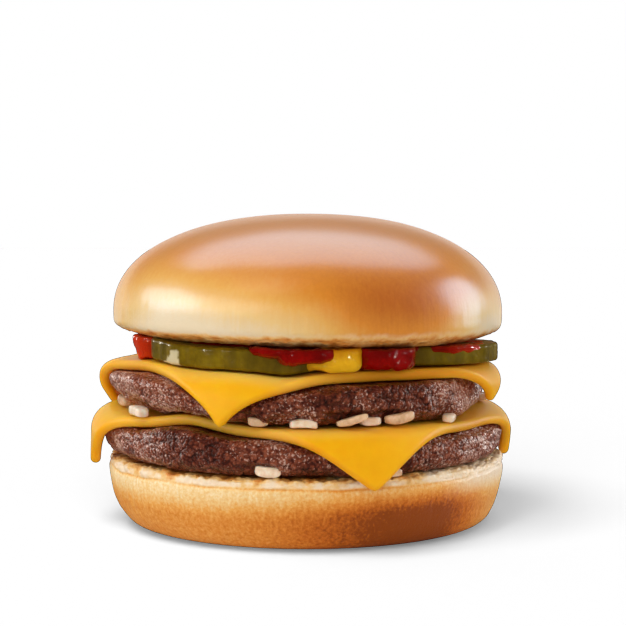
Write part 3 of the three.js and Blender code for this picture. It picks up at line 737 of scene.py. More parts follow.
# Processed cheddar, cast smooth and softened by the warm meat: satin, slightly translucent, even yellow.
def makeCheeseMaterial():
    material, tree = newMaterial("softenedCheddar")
    place = inMillimetres(tree)
    broad = node(tree, "TexNoise", {"Vector": place, "Scale": 1 / 13, "Detail": 2})
    fine = node(tree, "TexNoise", {"Vector": place, "Scale": 1 / 2.2, "Detail": 3})
    shade = node(tree, "Math", {0: broad, 1: 0.7}, operation="MULTIPLY")
    shade = node(tree, "Math", {0: fine, 1: 0.3, 2: shade}, operation="MULTIPLY_ADD")
    stops = [(0.3, "#F3A806"), (0.55, "#F8B30A"), (0.75, "#FCBD12")]
    colour = node(tree, "ValToRGB", {"Fac": shade}, stops)
    # tints: a painted sheen where the slice bends; on the rim a deeper orange that is partly painted shade;
    # meat juice with painted shade
    tints = [("bloom", 0.42, "#FFD67A"), ("edge", 0.45, "#F09C08"), ("juice", 0.8, "#D07204")]
    for name, most, tint in tints:
        share = node(tree, "Attribute", attribute_name=name).outputs["Fac"]
        share = node(tree, "Math", {0: share, 1: most}, operation="MULTIPLY")
        tinted = {0: share, lowColour: colour, highColour: tint}
        colour = node(tree, "Mix", tinted, data_type="RGBA").outputs[mixedColour]
    look = {
        "Base Color": colour,
        "Roughness": node(tree, "MapRange", {"Value": broad, "To Min": 0.36, "To Max": 0.48}),
        "Specular IOR Level": 0.28,
        "Normal": node(tree, "Bump", {"Height": fine, "Strength": 1, "Distance": 0.08 * mm}),
        "Subsurface Weight": 0.55,
        "Subsurface Radius": (0.005, 0.0022, 0.0003),
        "Subsurface Scale": 1.0,
        "IOR": 1.46,
    }
    node(tree, "OutputMaterial", {"Surface": node(tree, "BsdfPrincipled", look)})
    return material


meat = {
    "segments": 1000,
    "rows": (12, 16, 34),  # of each face, each rounded edge and the side
    "rounding": ((3.4, 2.8), (2.6, 2.3)),  # how far in and how high, of the lower and the upper edge
    "lump": 1.8,  # sizes and heights of the lumps of mince and of the crumbs on them
    "lumpHeight": 0.28,
    "crumb": 0.8,
    "crumbHeight": 0.12,
    "unevenness": [(0.4, 3.4, 6.6)],  # height, size and seed
    "crags": [(0.8, (4.6, 4.6, 3.4), 0), (0.4, (2.3, 2.3, 2), (7, 0, 0))],  # depth, size and seed
    "onionDent": 1.5,  # how far the foot gives way behind a piece of onion
    "dentRadius": 45,
}
degreesInRadian = 57.3


def slab(centre, outline, lower, upper, below, above, rows, segments, shave=None):
    # Between two height surfaces: each row has a share of the radius or an inset from the outline, the
    # room its rounding takes below and above (quarter ellipses), and its level from 0 to 1 between them.
    # A thin spot leaves each rounding 0.45 of its gap.
    faceRows, edgeRows, wallRows = rows
    turn = np.linspace(0, math.pi / 2, edgeRows)
    inset, rise = 1 - np.sin(turn), 1 - np.cos(turn)
    nothing = np.zeros(faceRows)
    shares = np.linspace(0.04, 0.93, faceRows)
    wall = np.linspace(0, 1, wallRows + 2)[1:-1]
    share = np.r_[shares, np.full(2 * edgeRows + wallRows, np.nan), shares[::-1]]
    insets = np.r_[nothing, below[0] * inset, 0 * wall, above[0] * inset[::-1], nothing]
    low = np.r_[nothing, below[1] * rise, np.full(wallRows, below[1]), np.zeros(edgeRows), nothing]
    high = np.r_[nothing, np.zeros(edgeRows), np.full(wallRows, above[1]), above[1] * rise[::-1], nothing]
    level = np.r_[nothing, np.zeros(edgeRows), wall, np.ones(edgeRows), nothing + 1]
    share, insets, low, high, level = (each[:, None] for each in (share, insets, low, high, level))
    azimuth = np.broadcast_to(np.arange(segments) * 360 / segments, (len(share), segments))
    dx, dy = heading(azimuth)
    edge = outline(azimuth)
    radius = np.where(np.isnan(share), edge - insets, share * (edge - max(below[0], above[0])))

    def at(r):
        x, y = centre[0] + r * dx, centre[1] + r * dy
        floor, ceiling = lower(x, y), upper(x, y)
        room = 0.45 * (ceiling - floor)
        z = mix(floor + np.minimum(low, room), ceiling - np.minimum(high, room), level)
        return np.stack([x, y, z], axis=-1), (z - floor) / (ceiling - floor)

    rings, lift = at(radius)
    if shave:
        taken = shave(rings, azimuth, lift)
        rings, lift = at(radius - np.where(np.isnan(share), taken, taken * ease(share, 0.6, 1)))
    return rings, azimuth, lift


limitMap = {
    "columns": 720,
    "rows": 240,
    "perDegree": 2,
    "perMillimetre": 4,
    "samples": 700,  # along a side of the slice
    "air": 0.12,  # left between the meat and the cheese
    "start": 0.3,  # past the fold circle
}


def limitCell(px, py, z):
    # the column, by azimuth, and the row, by height, that a point falls in
    column = (azimuthOf(px, py) % 360 * limitMap["perDegree"]).astype(int) % limitMap["columns"]
    return column, (z * limitMap["perMillimetre"]).astype(int).clip(0, limitMap["rows"] - 1)


def cheeseLimit(piece):
    # the cheese's inner face as a map: smallest radius about the patty's centre by azimuth and height
    steps = np.linspace(-1, 1, limitMap["samples"])
    u, v = np.meshgrid(steps, steps)
    middle, normal, past = sliceSurface(piece, u, v)
    inner = (middle - normal * (cheeseThick / 2 + limitMap["air"]))[past > limitMap["start"]]
    px, py = inner[:, 0] - piece["patty"]["centre"][0], inner[:, 1] - piece["patty"]["centre"][1]
    nearest = np.full((limitMap["columns"], limitMap["rows"]), np.inf)
    np.minimum.at(nearest, limitCell(px, py, inner[:, 2]), np.hypot(px, py))
    for axis, step in ((0, 1), (0, -1), (1, 1), (1, -1)):
        nearest = np.minimum(nearest, np.roll(nearest, step, axis=axis))
    return nearest


def makePatty(name, patty, lower, upper, piece, nodeName, material, dented):
    # the slab with an undercut foot, ground-meat lumps and crumbs pushed along its normals, and its side
    # kept inside the cheese that folds over it
    under, taper = patty["undercut"], patty["taper"]

    def shave(rings, azimuth, lift):
        towards = np.sin(np.radians(azimuth))
        left, right = ease(-towards, 0.4, 1), ease(towards, 0.75, 1)
        foot = under["round"] + under["left"] * left + under["right"] * right
        crag = sum(depth * noise(rings / size + seed) for depth, size, seed in meat["crags"])
        return crag + (1 - lift) ** 2 * foot + lift**2 * taper * right

    def outline(azimuth):
        return patty["radius"] + wavering(patty["waver"], azimuth)

    rings, azimuth, lift = slab(
        patty["centre"], outline, lower, upper, *meat["rounding"], meat["rows"], meat["segments"], shave
    )
    lumps, lumpNext = grains(rings + 0.5 * fractal(rings, 1.4, 1, 2.0)[..., None], meat["lump"], 3.7)
    crumbs, crumbNext = grains(rings, meat["crumb"], 8.1)
    lump = 0.5 * ease(lumpNext - lumps, 0, 0.5) + 0.5 * (1 - ease(lumps, 0, 0.9))
    crumb = 0.4 * ease(crumbNext - crumbs, 0, 0.5) + 0.6 * (1 - ease(crumbs, 0, 0.8))
    relief = meat["lumpHeight"] * (lump - 0.6) + meat["crumbHeight"] * (crumb - 0.5)
    relief = relief + bumps(rings, meat["unevenness"])
    side = ease(np.hypot(rings[..., 0], rings[..., 1]), 34, 43)
    rings = rings + outwards(rings) * (relief * mix(0.35, 1, side))[..., None]
    for at, distance, length, *_ in dented:
        sideways = clockDistance(azimuth, at) * distance / degreesInRadian
        near = np.exp(-((sideways / (length / 2 + 0.6)) ** 4))
        give = meat["onionDent"] * near * (1 - ease(lift, 0.25, 0.45)) * side
        rings[..., :2] *= 1 - (give / meat["dentRadius"])[..., None]
    px, py = rings[..., 0] - patty["centre"][0], rings[..., 1] - patty["centre"][1]
    radius = np.hypot(px, py)
    limit = cheeseLimit(piece)[limitCell(px, py, rings[..., 2])]
    pulled = np.minimum(radius, limit) / radius
    rings[..., 0] = patty["centre"][0] + px * pulled
    rings[..., 1] = patty["centre"][1] + py * pulled
    ceiling = upper(rings[..., 0], rings[..., 1])
    rings[..., 2] = np.minimum(rings[..., 2], ceiling + 0.1)
    # pale is painted light on those stretches; lump and crumb also darken the cracks in the colour, as
    # painted shade
    values = {"lump": lump, "crumb": crumb, "pale": bells(azimuth, patty["pale"])}
    ringPiece(name, rings, material, [nodeName], values)
    print(name, rings.shape)


# Coarse minced beef, seared: dark red-brown crust, painted shade in its cracks, painted light on its pale
# stretches, pale fat specks that also stand for painted glints, and a wet fatty film glinting on every
# crumb.
def makeMeatMaterial():
    material, tree = newMaterial("searedMince")
    place = inMillimetres(tree)
    broad = node(tree, "TexNoise", {"Vector": place, "Scale": 1 / 7, "Detail": 3})
    fine = node(tree, "TexNoise", {"Vector": place, "Scale": 1 / 0.5, "Detail": 4, "Roughness": 0.65})
    spots = node(tree, "TexNoise", {"Vector": place, "Scale": 1 / 0.55, "Detail": 1})
    cells = {"Vector": place, "Scale": 1 / 0.7, "Smoothness": 0.3}
    grain = node(tree, "TexVoronoi", cells, feature="SMOOTH_F1")
    grain = node(tree, "Math", {0: 1, 1: grain}, operation="SUBTRACT")
    lump = node(tree, "Attribute", attribute_name="lump").outputs["Fac"]
    crumb = node(tree, "Attribute", attribute_name="crumb").outputs["Fac"]
    pale = node(tree, "Attribute", attribute_name="pale").outputs["Fac"]
    shade = fatty = 0
    # lighter on lumps and grains and darker in the cracks between them, as painted shade; lighter on the
    # pale stretches, as painted light
    for pattern, share in ((lump, 0.2), (grain, 0.3), (fine, 0.25), (broad, 0.4), (pale, 0.24)):
        shade = node(tree, "Math", {0: pattern, 1: share, 2: shade}, operation="MULTIPLY_ADD")
    # pale fat specks, more on crumbs and on the pale stretches, that also stand for painted glints
    for pattern, share in ((spots, 1), (broad, 0.8), (crumb, 0.12), (pale, 0.16)):
        fatty = node(tree, "Math", {0: pattern, 1: share, 2: fatty}, operation="MULTIPLY_ADD")
    stops = [(0.38, "#1E0603"), (0.56, "#561E10"), (0.8, "#944C32"), (1, "#C4947E")]
    colour = node(tree, "ValToRGB", {"Fac": shade}, stops)
    fat = node(tree, "MapRange", {"Value": fatty, "From Min": 1.12, "From Max": 1.26, "To Max": 0.85})
    flecked = {0: fat, lowColour: colour, highColour: "#D6B0A0"}
    skin = node(tree, "Bump", {"Height": fine, "Strength": 1, "Distance": 0.25 * mm})
    skin = node(tree, "Bump", {"Height": grain, "Strength": 1, "Distance": 0.5 * mm, "Normal": skin})
    look = {
        "Base Color": node(tree, "Mix", flecked, data_type="RGBA").outputs[mixedColour],
        "Roughness": 0.3,
        "Normal": skin,
        "IOR": 1.5,
        "Specular IOR Level": 0.7,
        "Specular Tint": "#FFD8C8",
        "Coat Weight": 0.3,
        "Coat Roughness": 0.22,
    }
    node(tree, "OutputMaterial", {"Surface": node(tree, "BsdfPrincipled", look)})
    return material


# The height over a point of the lower patty's underside, which is level, and of the upper one's.
def pattySeat(x, y):
    return lowerPatty["bottom"] + 0 * x


def upperBottom(x, y):
    return lowerCheeseTop(x, y) + 2 * touch


# nick is the azimuth and half-width of the place where the skin is torn off the edge
pickles = {
    "pickle_left": {
        "centre": (-13.9, -21.8), "long": 24.1, "short": 18.6, "turn": -30, "thick": 4.9, "nick": (-60, 9)
    },
    "pickle_right": {
        "centre": (26.6, -10.5), "long": 19.6, "short": 18.6, "turn": 60, "thick": 4.3, "nick": (150, 7)
    },
    "pickle_back": {
        "centre": (-7, 23.4), "long": 20, "short": 18.4, "turn": 12, "thick": 4.6, "nick": (205, 7)
    },
}
pickleLift = 1.6 * touch
pickleWarts = [(0.12, 2.6, 1.1), (0.05, 0.9, 5.5)]


def makePickle(name, spec, material):
    # an oval slab whose outline has two sine waves for flutes, with noise along its normals for warts
    def outline(azimuth):
        dx, dy = heading(azimuth - spec["turn"])
        flutes = 0.2 * np.sin(np.radians(azimuth) * 13 + 2) + 0.08 * np.sin(np.radians(azimuth) * 29)
        return flutes + 1 / np.hypot(dx / spec["long"], dy / spec["short"])

    def lower(x, y):
        return upperCheeseTop(x, y) + pickleLift

    def upper(x, y):
        return lower(x, y) + spec["thick"]

    rounding, rows, segments = (0.8, 0.8), (30, 10, 24), 260
    rings, _, lift = slab(spec["centre"], outline, lower, upper, rounding, rounding, rows, segments)
    rings = rings + outwards(rings) * bumps(rings, pickleWarts)[..., None]
    x, y = rings[..., 0] - spec["centre"][0], rings[..., 1] - spec["centre"][1]
    share = np.hypot(x, y) / outline(azimuthOf(x, y))
    at, half = spec["nick"]
    off = (azimuthOf(x, y) - at + 180) % 360 - 180 + half + 3 * fractal(rings, 1.3, 2, 1.2)
    nick = ease(off, 14 * lift, 14 * lift + 1.5) * (1 - ease(off, 2 * half - 1.5, 2 * half))
    ragged = 0.1 * fractal(rings, 1.1, 2, 3.7)
    nick = nick * ease(share, 0.9, 0.98) * (1 - ease(lift + ragged, 0.62, 0.74))
    values = {"skin": ease(share, 0.9, 0.985), "nick": nick}
    ringPiece(name, rings, material, [name], values)
    print(name, rings.shape)


# Cucumber cured in brine: olive skin, paler wet flesh, glossy all over.
def makePickleMaterial():
    material, tree = newMaterial("brinedCucumber")
    place = inMillimetres(tree)
    upright = node(tree, "Mapping", {"Vector": place, "Scale": (1, 1, 1 / 9)})
    broad = node(tree, "TexNoise", {"Vector": place, "Scale": 1 / 5, "Detail": 3})
    fine = node(tree, "TexNoise", {"Vector": place, "Scale": 1 / 1.1, "Detail": 3})
    bands = node(tree, "TexNoise", {"Vector": upright, "Scale": 1 / 3, "Detail": 3})
    bands = node(tree, "MapRange", {"Value": bands, "From Min": 0.4, "From Max": 0.6, "To Max": 0.45})
    shade = node(tree, "Math", {0: broad, 1: 0.7}, operation="MULTIPLY")
    shade = node(tree, "Math", {0: fine, 1: 0.3, 2: shade}, operation="MULTIPLY_ADD")
    flesh = node(tree, "ValToRGB", {"Fac": shade}, [(0.3, "#86741C"), (0.7, "#A8943C")])
    rind = node(tree, "ValToRGB", {"Fac": shade}, [(0.3, "#5E4C04"), (0.5, "#766008"), (0.7, "#88740E")])
    skin = node(tree, "Attribute", attribute_name="skin").outputs["Fac"]
    nick = node(tree, "Attribute", attribute_name="nick").outputs["Fac"]
    banded = {0: bands, lowColour: rind, highColour: "#43380A"}
    rind = node(tree, "Mix", banded, data_type="RGBA").outputs[mixedColour]
    sliced = {0: skin, lowColour: flesh, highColour: rind}
    whole = node(tree, "Mix", sliced, data_type="RGBA").outputs[mixedColour]
    nicked = {0: nick, lowColour: whole, highColour: "#C8BC98"}
    look = {
        "Base Color": node(tree, "Mix", nicked, data_type="RGBA").outputs[mixedColour],
        "Roughness": 0.3,
        "Normal": node(tree, "Bump", {"Height": fine, "Strength": 1, "Distance": 0.12 * mm}),
        "IOR": 1.33,
        "Specular IOR Level": 0.12,
        "Subsurface Weight": 0.1,
        "Subsurface Radius": (0.002, 0.0015, 0.0003),
        "Coat Weight": 0.25,
        "Coat Roughness": 0.05,
        "Coat IOR": 1.4,
    }
    node(tree, "OutputMaterial", {"Surface": node(tree, "BsdfPrincipled", look)})
    return material


mustardLift = 1.4 * touch
mustardLumps = [(0.55, 3.4, 2.3)]
mustards = {
    "mustard_front": {"azimuth": 9.5, "distance": 37.6, "across": 6.6, "along": 7},
    "mustard_back": {"azimuth": 143, "distance": 36.5, "across": 8, "along": 7.2},
    "mustard_side": {"azimuth": 222, "distance": 38, "across": 5.6, "along": 5.6},
}
ketchup = {
    "radius": 39.5,
    "thick": 1.8,
    "waver": [(0.6, 5, 0)],
    "lumps": [(0.45, 3.1, 7.1), (0.3, 1.3, 3.3)],
    "rounding": ((1.8, 1.4), (0.8, 0.6)),
    "rows": (60, 16, 16),
    "segments": 540,
    "thin": [(-75, 18, 1), (72, 16, 1)],  # azimuth, half-width and strength of the painted light where the side lights fall
}
# azimuth, distance, reach, width and share of the gap down to the cheese that each lobe of ketchup fills
lobes = [
    (-71.5, 38, 43.4, 5.4, 1),
    (-9, 42, 45.3, 6.5, 0.36),
    (0.5, 42, 45.5, 7, 0.6),
    (26.5, 38.4, 45, 7.8, 1),
    (60, 39, 46.2, 11.5, 0.2),
    (118, 38.5, 44.6, 7, 1),
    (200, 40, 45, 8, 0.7),
    (248, 38, 44, 7.2, 1),
]


def makeMustard(name, spec, material):
    # a squeezed blob from the cheese to the crown: an oval slab, with noise along its normals for lumps
    cx, cy = (part * spec["distance"] for part in heading(spec["azimuth"]))

    def outline(azimuth):
        dx, dy = heading(azimuth - spec["azimuth"])
        lumps = 1 + 0.06 * np.sin(np.radians(3 * azimuth))
        return lumps / np.hypot(dx / spec["across"], dy / spec["along"])

    def lower(x, y):
        return upperCheeseTop(x, y) + mustardLift

    def upper(x, y):
        return crownUnder(x, y) - touch

    below, above, rows, segments = (1.6, 1.8), (0.8, 0.8), (10, 12, 12), 120
    rings, _, lift = slab((cx, cy), outline, lower, upper, below, above, rows, segments)
    rings = rings + outwards(rings) * bumps(rings, mustardLumps)[..., None]
    # light: brighter low down and darker near the crown, as painted shade under the crown
    ringPiece(name, rings, material, [name], {"light": 1 - ease(lift, 0.4, 0.95)})
    print(name, rings.shape)


def makeKetchup(material):
    # a spread under the crown whose outline swells round each lobe and whose underside sinks there
    def outline(azimuth):
        edge = ketchup["radius"] + wavering(ketchup["waver"], azimuth)
        for at, distance, reach, width, _ in lobes:
            sideways = distance * np.sin(np.radians(np.minimum(clockDistance(azimuth, at), 90)))
            swell = np.maximum(0, 1 - (sideways / width) ** 2)
            edge = np.maximum(edge, np.where(swell > 0, distance + (reach - distance) * np.sqrt(swell), 0))
        return edge

    def upper(x, y):
        return crownUnder(x, y) - touch

    def lower(x, y):
        top, floor = upper(x, y), upperCheeseTop(x, y) + touch
        share = ketchup["thick"] / (top - floor)
        for at, distance, _, width, drop in lobes:
            dx, dy = heading(at)
            off = np.hypot(x - distance * dx, y - distance * dy)
            share = np.maximum(share, drop * (1 - ease(off, width * 0.75, width * 1.25)))
        return mix(top, floor, share)

    rings, azimuth, _ = slab(
        (0, 0), outline, lower, upper, *ketchup["rounding"], ketchup["rows"], ketchup["segments"]
    )
    edge = ease(np.hypot(rings[..., 0], rings[..., 1]), 34, 40)
    relief = bumps(rings, ketchup["lumps"]) * edge
    rings = rings + outwards(rings) * relief[..., None]
    # light: painted light on the lobes at the left and right ends, where the side lights fall
    values = {"light": bells(azimuth, ketchup["thin"])}
    ringPiece("ketchupSpread", rings, material, ["ketchup"], values)
    print("ketchup", rings.shape)


# A thick wet sauce: deep colour that turns to a brighter one as painted light where the light value is
# high, a mirror-like skin, and coarse pulp of a depth in millimetres that breaks its highlights.
def makeSauceMaterial(name, stops, thin, pulp):
    material, tree = newMaterial(name)
    place = inMillimetres(tree)
    broad = node(tree, "TexNoise", {"Vector": place, "Scale": 1 / 4, "Detail": 3})
    grit = node(tree, "TexNoise", {"Vector": place, "Scale": 1 / 1.5, "Detail": 2})
    deep = node(tree, "ValToRGB", {"Fac": broad}, stops)
    light = node(tree, "Attribute", attribute_name="light").outputs["Fac"]
    thinned = {0: light, lowColour: deep, highColour: thin}
    look = {
        "Base Color": node(tree, "Mix", thinned, data_type="RGBA").outputs[mixedColour],
        "Roughness": 0.07,
        "Normal": node(tree, "Bump", {"Height": grit, "Strength": 1, "Distance": pulp * mm}),
        "IOR": 1.33,
        "Specular IOR Level": 0.25,
        "Subsurface Weight": 0.06,
        "Subsurface Radius": (0.0015, 0.0003, 0.0001),
        "Coat Weight": 0.4,
        "Coat Roughness": 0.03,
        "Coat IOR": 1.45,
    }
    node(tree, "OutputMaterial", {"Surface": node(tree, "BsdfPrincipled", look)})
    return material


# azimuth, distance, length, width, height, yaw and tilt of each piece
onionsOnCheese = [
    (-76.5, 45, 4.4, 2.8, 2.3, 20, 6),
    (-56, 47, 6.6, 3.2, 2.2, -4, 3),
    (-13.6, 44.9, 4.6, 3, 2.1, 12, 0),
    (-1, 45, 6.1, 3, 2, 0, 0),
    (12.6, 45.8, 7, 2.6, 1.6, -6, -15),
    (18.6, 43.8, 4.6, 2.6, 2, 0, 0),
    (27.2, 45, 6.8, 3.2, 2.2, 4, -7),
    (46.8, 44.4, 3.6, 3, 1.7, 30, -5),
    (92, 42.6, 5.2, 3, 2, 10, 5),
    (128, 43.4, 6.2, 3.2, 2.1, -10, 0),
    (170, 44, 5.4, 3.2, 2.2, 8, 4),
    (212, 44, 6.4, 2.8, 2, -5, -6),
    (244, 45, 5, 3.2, 2.1, 14, 0),
]
onionsOnHeel = [
    (-108, 46.4, 4.2, 2.6, 1.9, 8, 0),
    (-10.5, 46.9, 5.9, 2.9, 2.5, 0, 3),
    (24, 47.4, 3.6, 2.2, 1.7, 15, 0),
    (102, 46.2, 4.6, 2.6, 1.8, -12, 0),
    (122, 46.4, 5.2, 2.8, 2, 6, 0),
    (160, 46.6, 4.6, 2.8, 2, -8, 4),
    (215, 46.4, 5.6, 2.6, 2, 5, 0),
    (262, 46.2, 4.4, 2.6, 1.9, 0, -4),
]
onion = {"square": 0.5, "columns": 36, "rows": 19, "unevenness": 0.12}  # square: 1 is an ellipsoid, 0 a box


def heelFace(x, y):
    # the heel's cut face, which sinks 0.5 mm past its flat
    return heel["height"] - 0.5 * ease(np.hypot(x, y), heel["faceRadius"], heel["faceRadius"] + 2.5)


def diced(spec, floor):
    # one bar: a superellipsoid of turn and lift, made uneven, then tilted, turned and set on the floor
    azimuth, distance, length, width, height, yaw, tilt = spec
    x, y = (part * distance for part in heading(azimuth))
    turn = np.radians(np.arange(onion["columns"]) * 360 / onion["columns"])[None, :]
    lift = np.radians(np.linspace(-86, 86, onion["rows"]))[:, None]

    def power(part):
        return np.sign(part) * np.abs(part) ** onion["square"]

    around = np.cos(lift) ** onion["square"]
    points = np.stack(
        [
            length / 2 * power(np.cos(turn)) * around,
            width / 2 * power(np.sin(turn)) * around,
            height / 2 * power(np.sin(lift)) + 0 * turn,
        ],
        axis=-1,
    )
    # skewed, tapered and bent by amounts that follow from the azimuth
    skew, taper = (onion["unevenness"] * math.sin(azimuth * pace) for pace in (7.3, 3.1))
    points[..., 0] += skew * length * points[..., 1] / width
    points[..., 1] *= 1 + taper * points[..., 0] / length * 2
    points[..., 2] += 0.06 * length * (2 * points[..., 0] / length) ** 2 * math.sin(azimuth * 1.7)
    relief = fractal(points + azimuth, 1.5, 2)[..., None]
    points = points + outwards(points) * onion["unevenness"] * relief
    t, w = math.radians(tilt), math.radians(azimuth + yaw)
    px = points[..., 0] * math.cos(t) + points[..., 2] * math.sin(t)
    pz = points[..., 2] * math.cos(t) - points[..., 0] * math.sin(t)
    py = points[..., 1]
    ends = (length / 2) * abs(math.sin(t)) * 0.7
    z = floor(np.array(x), np.array(y)) + touch + height / 2 + ends
    x, y = x + px * math.cos(w) - py * math.sin(w), y + px * math.sin(w) + py * math.cos(w)
    return np.stack([x, y, z + pz], axis=-1)


def makeOnions(name, specs, floor, stem, material):
    # all the bars of one layer as a single mesh
    points, faces = [], []
    for spec in specs:
        rings = diced(spec, floor)
        faces += ringFaces(*rings.shape[:2], start=sum(len(each) for each in points))
        points.append(withPoles(rings))
    nodes = [f"{stem}_{k + 1:02d}" for k in range(len(specs))]
    tone = np.concatenate([np.full(len(each), (0.45 + 0.47 * k) % 1) for k, each in enumerate(points)])
    addMesh(name, np.concatenate(points), faces, material, nodes, {"tone": tone})
    print(name, len(specs))


# Rehydrated diced onion: milky, moist and half translucent, tinted by the meat's juices.
def makeOnionMaterial():
    material, tree = newMaterial("dicedOnion")
    place = inMillimetres(tree)
    flatwise = node(tree, "Mapping", {"Vector": place, "Scale": (1 / 4, 1 / 4, 1)})
    fine = node(tree, "TexNoise", {"Vector": place, "Scale": 1 / 1.4, "Detail": 3})
    fibres = node(tree, "TexNoise", {"Vector": flatwise, "Scale": 1 / 0.6, "Detail": 3})
    tone = node(tree, "Attribute", attribute_name="tone").outputs["Fac"]
    stops = [(0.25, "#C4946A"), (0.5, "#E6C4A0"), (0.8, "#FCF0E0")]
    shade = node(tree, "Math", {0: fine, 1: 0.6}, operation="MULTIPLY")
    shade = node(tree, "Math", {0: tone, 1: 0.4, 2: shade}, operation="MULTIPLY_ADD")
    look = {
        "Base Color": node(tree, "ValToRGB", {"Fac": shade}, stops),
        "Roughness": 0.25,
        "Normal": node(tree, "Bump", {"Height": fibres, "Strength": 1, "Distance": 0.1 * mm}),
        "IOR": 1.5,
        "Subsurface Weight": 0.8,
        "Subsurface Radius": (0.003, 0.002, 0.0013),
        "Coat Weight": 0.3,
        "Coat Roughness": 0.1,
    }
    node(tree, "OutputMaterial", {"Surface": node(tree, "BsdfPrincipled", look)})
    return material


# half its side in metres, and how far under the heel it lies in millimetres
catcher = {"side": 3.0, "below": 0.1, "colour": "#D8D8D8"}


def makeTable():
    # a white table, of which only the shadow shows against the white studio
    side, below = catcher["side"], -catcher["below"] * mm
    mesh = bpy.data.meshes.new("whiteTable")
    corners = [(-side, -side, below), (side, -side, below), (side, side, below), (-side, side, below)]
    mesh.from_pydata(corners, [], [(0, 1, 2, 3)])
    material, tree = newMaterial("whiteTable")
    paint = {"Base Color": catcher["colour"], "Roughness": 0.9, "Specular IOR Level": 0.0}
    node(tree, "OutputMaterial", {"Surface": node(tree, "BsdfPrincipled", paint)})
    mesh.materials.append(material)
    table = bpy.data.objects.new("whiteTable", mesh)
    table.is_shadow_catcher = True
    table.visible_glossy = False
    table.visible_shadow = False
    bpy.context.scene.collection.objects.link(table)
    return table


# Azimuth and elevation of each soft panel about the burger, its distance, width and height in metres, its
# brightness beside that of lit white paper, and what it lights: the table has its own lights, which leave
# one soft shadow on it. A sheen shows as gloss alone, on the meat, on the wet sauces and pickles, or on
# the bread, cheese and onion.
panels = {
    "key": (-36, 56, 0.8, 0.4, 0.4, 6.4, "food"),
    "left": (-98, 12, 1.0, 0.6, 0.6, 3.0, "food"),
    "front": (-2, 8, 1.2, 1.0, 0.7, 1.9, "food"),
    "right": (94, 14, 1.0, 0.6, 0.6, 3.4, "food"),
    "back": (180, 35, 1.2, 1.0, 0.7, 1.8, "food"),
    "tableKey": (-41, 63, 0.8, 0.4, 0.4, 7.3, "table"),
    "tableFront": (-8, 34, 0.8, 0.5, 0.5, 3.1, "table"),
    "tableGlow": (0, 90, 1.0, 1.0, 1.0, 1.0, "table"),
    "leftSheen": (-88, 20, 0.55, 0.48, 0.24, 2.7, "glazed"),
    "softLeftSheen": (-55, 19, 0.55, 0.66, 0.24, 1.3, "glazed"),
    "rightSheen": (106, 17, 0.6, 0.36, 0.46, 3.6, "glazed"),
    "topSheen": (180, 66, 0.55, 0.8, 0.46, 2.0, "glazed"),
    "backSheen": (180, 5, 0.9, 2.4, 0.5, 0.85, "glazed"),
    "leftGlintSheen": (-52, 11, 0.7, 0.08, 0.08, 130, "wet"),
    "rightGlintSheen": (58, 9, 0.7, 0.08, 0.08, 130, "wet"),
    "farLeftGlintSheen": (-128, 9, 0.7, 0.08, 0.08, 110, "wet"),
    "farRightGlintSheen": (114, 9, 0.7, 0.08, 0.08, 110, "wet"),
    "lowLeftSheen": (-112, 6, 0.55, 0.5, 0.16, 8.0, "meat"),
    "lowRightSheen": (118, 7, 0.6, 0.6, 0.16, 8.0, "low"),
}
coolPanels = ("leftSheen", "rightSheen", "topSheen")
warmLight, coolLight = (1, 0.97, 0.92), (0.62, 0.98, 1.3)
aim = np.array([0, 0, 0.04])


def makePanel(name, spec, receivers):
    # a soft area light that faces the burger; its power is brightness * pi * area
    azimuth, elevation, distance, width, height, bright, lights = spec
    light = bpy.data.lights.new(name, "AREA")
    sheen = name.endswith("Sheen")
    light.shape = "ELLIPSE" if sheen else "RECTANGLE"
    light.color = coolLight if name in coolPanels else warmLight
    light.size, light.size_y = width, height
    area = light.size * light.size_y * (math.pi / 4 if sheen else 1)
    light.energy = bright * math.pi * area
    light.use_shadow = name != "tableGlow"  # it thins the shadow out
    lamp = bpy.data.objects.new(name, light)
    hx, hy = heading(azimuth)
    up = math.radians(elevation)
    towards = np.array([hx * math.cos(up), hy * math.cos(up), math.sin(up)])
    lamp.location = aim + towards * distance
    lamp.rotation_euler = Vector(-towards).to_track_quat("-Z", "Y").to_euler()
    lamp.visible_diffuse = not sheen
    lamp.visible_glossy = sheen
    lamp.visible_camera = False
    lit = bpy.data.collections.new(name)
    for piece in receivers[lights]:
        lit.objects.link(piece)
    lamp.light_linking.receiver_collection = lit
    bpy.context.scene.collection.objects.link(lamp)


backdrop = {"Is Camera Ray": 1, "Is Diffuse Ray": 0.24, "Is Glossy Ray": 0.08}  # brightness to each ray


def makeSurroundings():
    # a white room: the strength is the sum of each kind of ray times its brightness
    world = bpy.data.worlds.new("studio")
    bpy.context.scene.world = world
    world.use_nodes = True
    tree = world.node_tree
    tree.nodes.clear()
    rays = node(tree, "LightPath").outputs
    strength = 0
    for kind, bright in backdrop.items():
        strength = node(tree, "Math", {0: rays[kind], 1: bright, 2: strength}, operation="MULTIPLY_ADD")
    room = node(tree, "Background", {"Color": "#FFFFFF", "Strength": strength})
    node(tree, "OutputWorld", {"Surface": room})


# Level with the crown's top, looking a little down, with a lens for a square frame.
camera = {
    "x": 1.35,
    "distance": 400,
    "height": 75,
    "down": 3.5,  # degrees
    "focalPixels": 1628,
    "framePixels": 626,
    "sensor": 36,
}


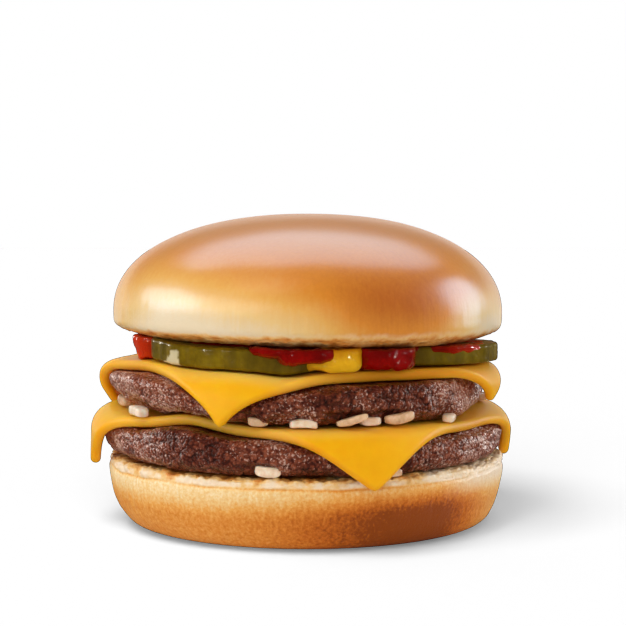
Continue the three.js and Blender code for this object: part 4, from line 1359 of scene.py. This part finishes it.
def makeCamera():
    # focal length = focal pixels / frame pixels * the sensor's width
    data = bpy.data.cameras.new("camera")
    data.sensor_width = camera["sensor"]
    data.lens = camera["focalPixels"] / camera["framePixels"] * camera["sensor"]
    seen = bpy.data.objects.new("camera", data)
    seen.location = (camera["x"] * mm, -camera["distance"] * mm, camera["height"] * mm)
    seen.rotation_euler = (math.radians(90 - camera["down"]), 0, 0)
    bpy.context.scene.collection.objects.link(seen)
    bpy.context.scene.camera = seen
    print("camera", round(data.lens, 1))


makeHeel()
mince = makeMeatMaterial()
makePatty("pattyLower", lowerPatty, pattySeat, lowerTop, lowerSlice, "patty_lower", mince, onionsOnHeel)
makePatty("pattyUpper", upperPatty, upperBottom, upperTop, upperSlice, "patty_upper", mince, onionsOnCheese)
cheddar = makeCheeseMaterial()
makeSlice("cheeseLower", lowerSlice, cheddar, "cheese_lower")
makeSlice("cheeseUpper", upperSlice, cheddar, "cheese_upper")
cucumber = makePickleMaterial()
for name, spec in pickles.items():
    makePickle(name, spec, cucumber)
# the last colour is painted light, low on the mustard, away from the crown's shade
mustardSauce = makeSauceMaterial("yellowMustard", [(0.35, "#C67C06"), (0.65, "#D6980E")], "#E8AE1C", 0.4)
for name, spec in mustards.items():
    makeMustard(name, spec, mustardSauce)
# the last colour is painted light on the lit end lobes
tomatoSauce = makeSauceMaterial("tomatoKetchup", [(0.35, "#6A0200"), (0.65, "#8A0500")], "#D43A10", 0.5)
makeKetchup(tomatoSauce)
moistOnion = makeOnionMaterial()
makeOnions("onionOnCheese", onionsOnCheese, lowerCheeseTop, "onion_cheese", moistOnion)
makeOnions("onionOnHeel", onionsOnHeel, heelFace, "onion_heel", moistOnion)
makeCrown()

makeCamera()
makeSurroundings()
lists = {
    "glazed": ["crownBread", "heelBread", "cheeseLower", "cheeseUpper", "onionOnCheese", "onionOnHeel"],
    "wet": ["ketchupSpread", *mustards, *pickles],
    "meat": ["pattyLower", "pattyUpper"],
    "low": ["pattyLower", "pattyUpper", "heelBread"],
}
receivers = {kind: [dressed[name] for name in names] for kind, names in lists.items()}
receivers["table"] = [makeTable()]
receivers["food"] = dressed.values()
for name, spec in panels.items():
    makePanel(name, spec, receivers)
bpy.context.scene.view_settings.view_transform = "Standard"
print("studio", len(panels), "panels")
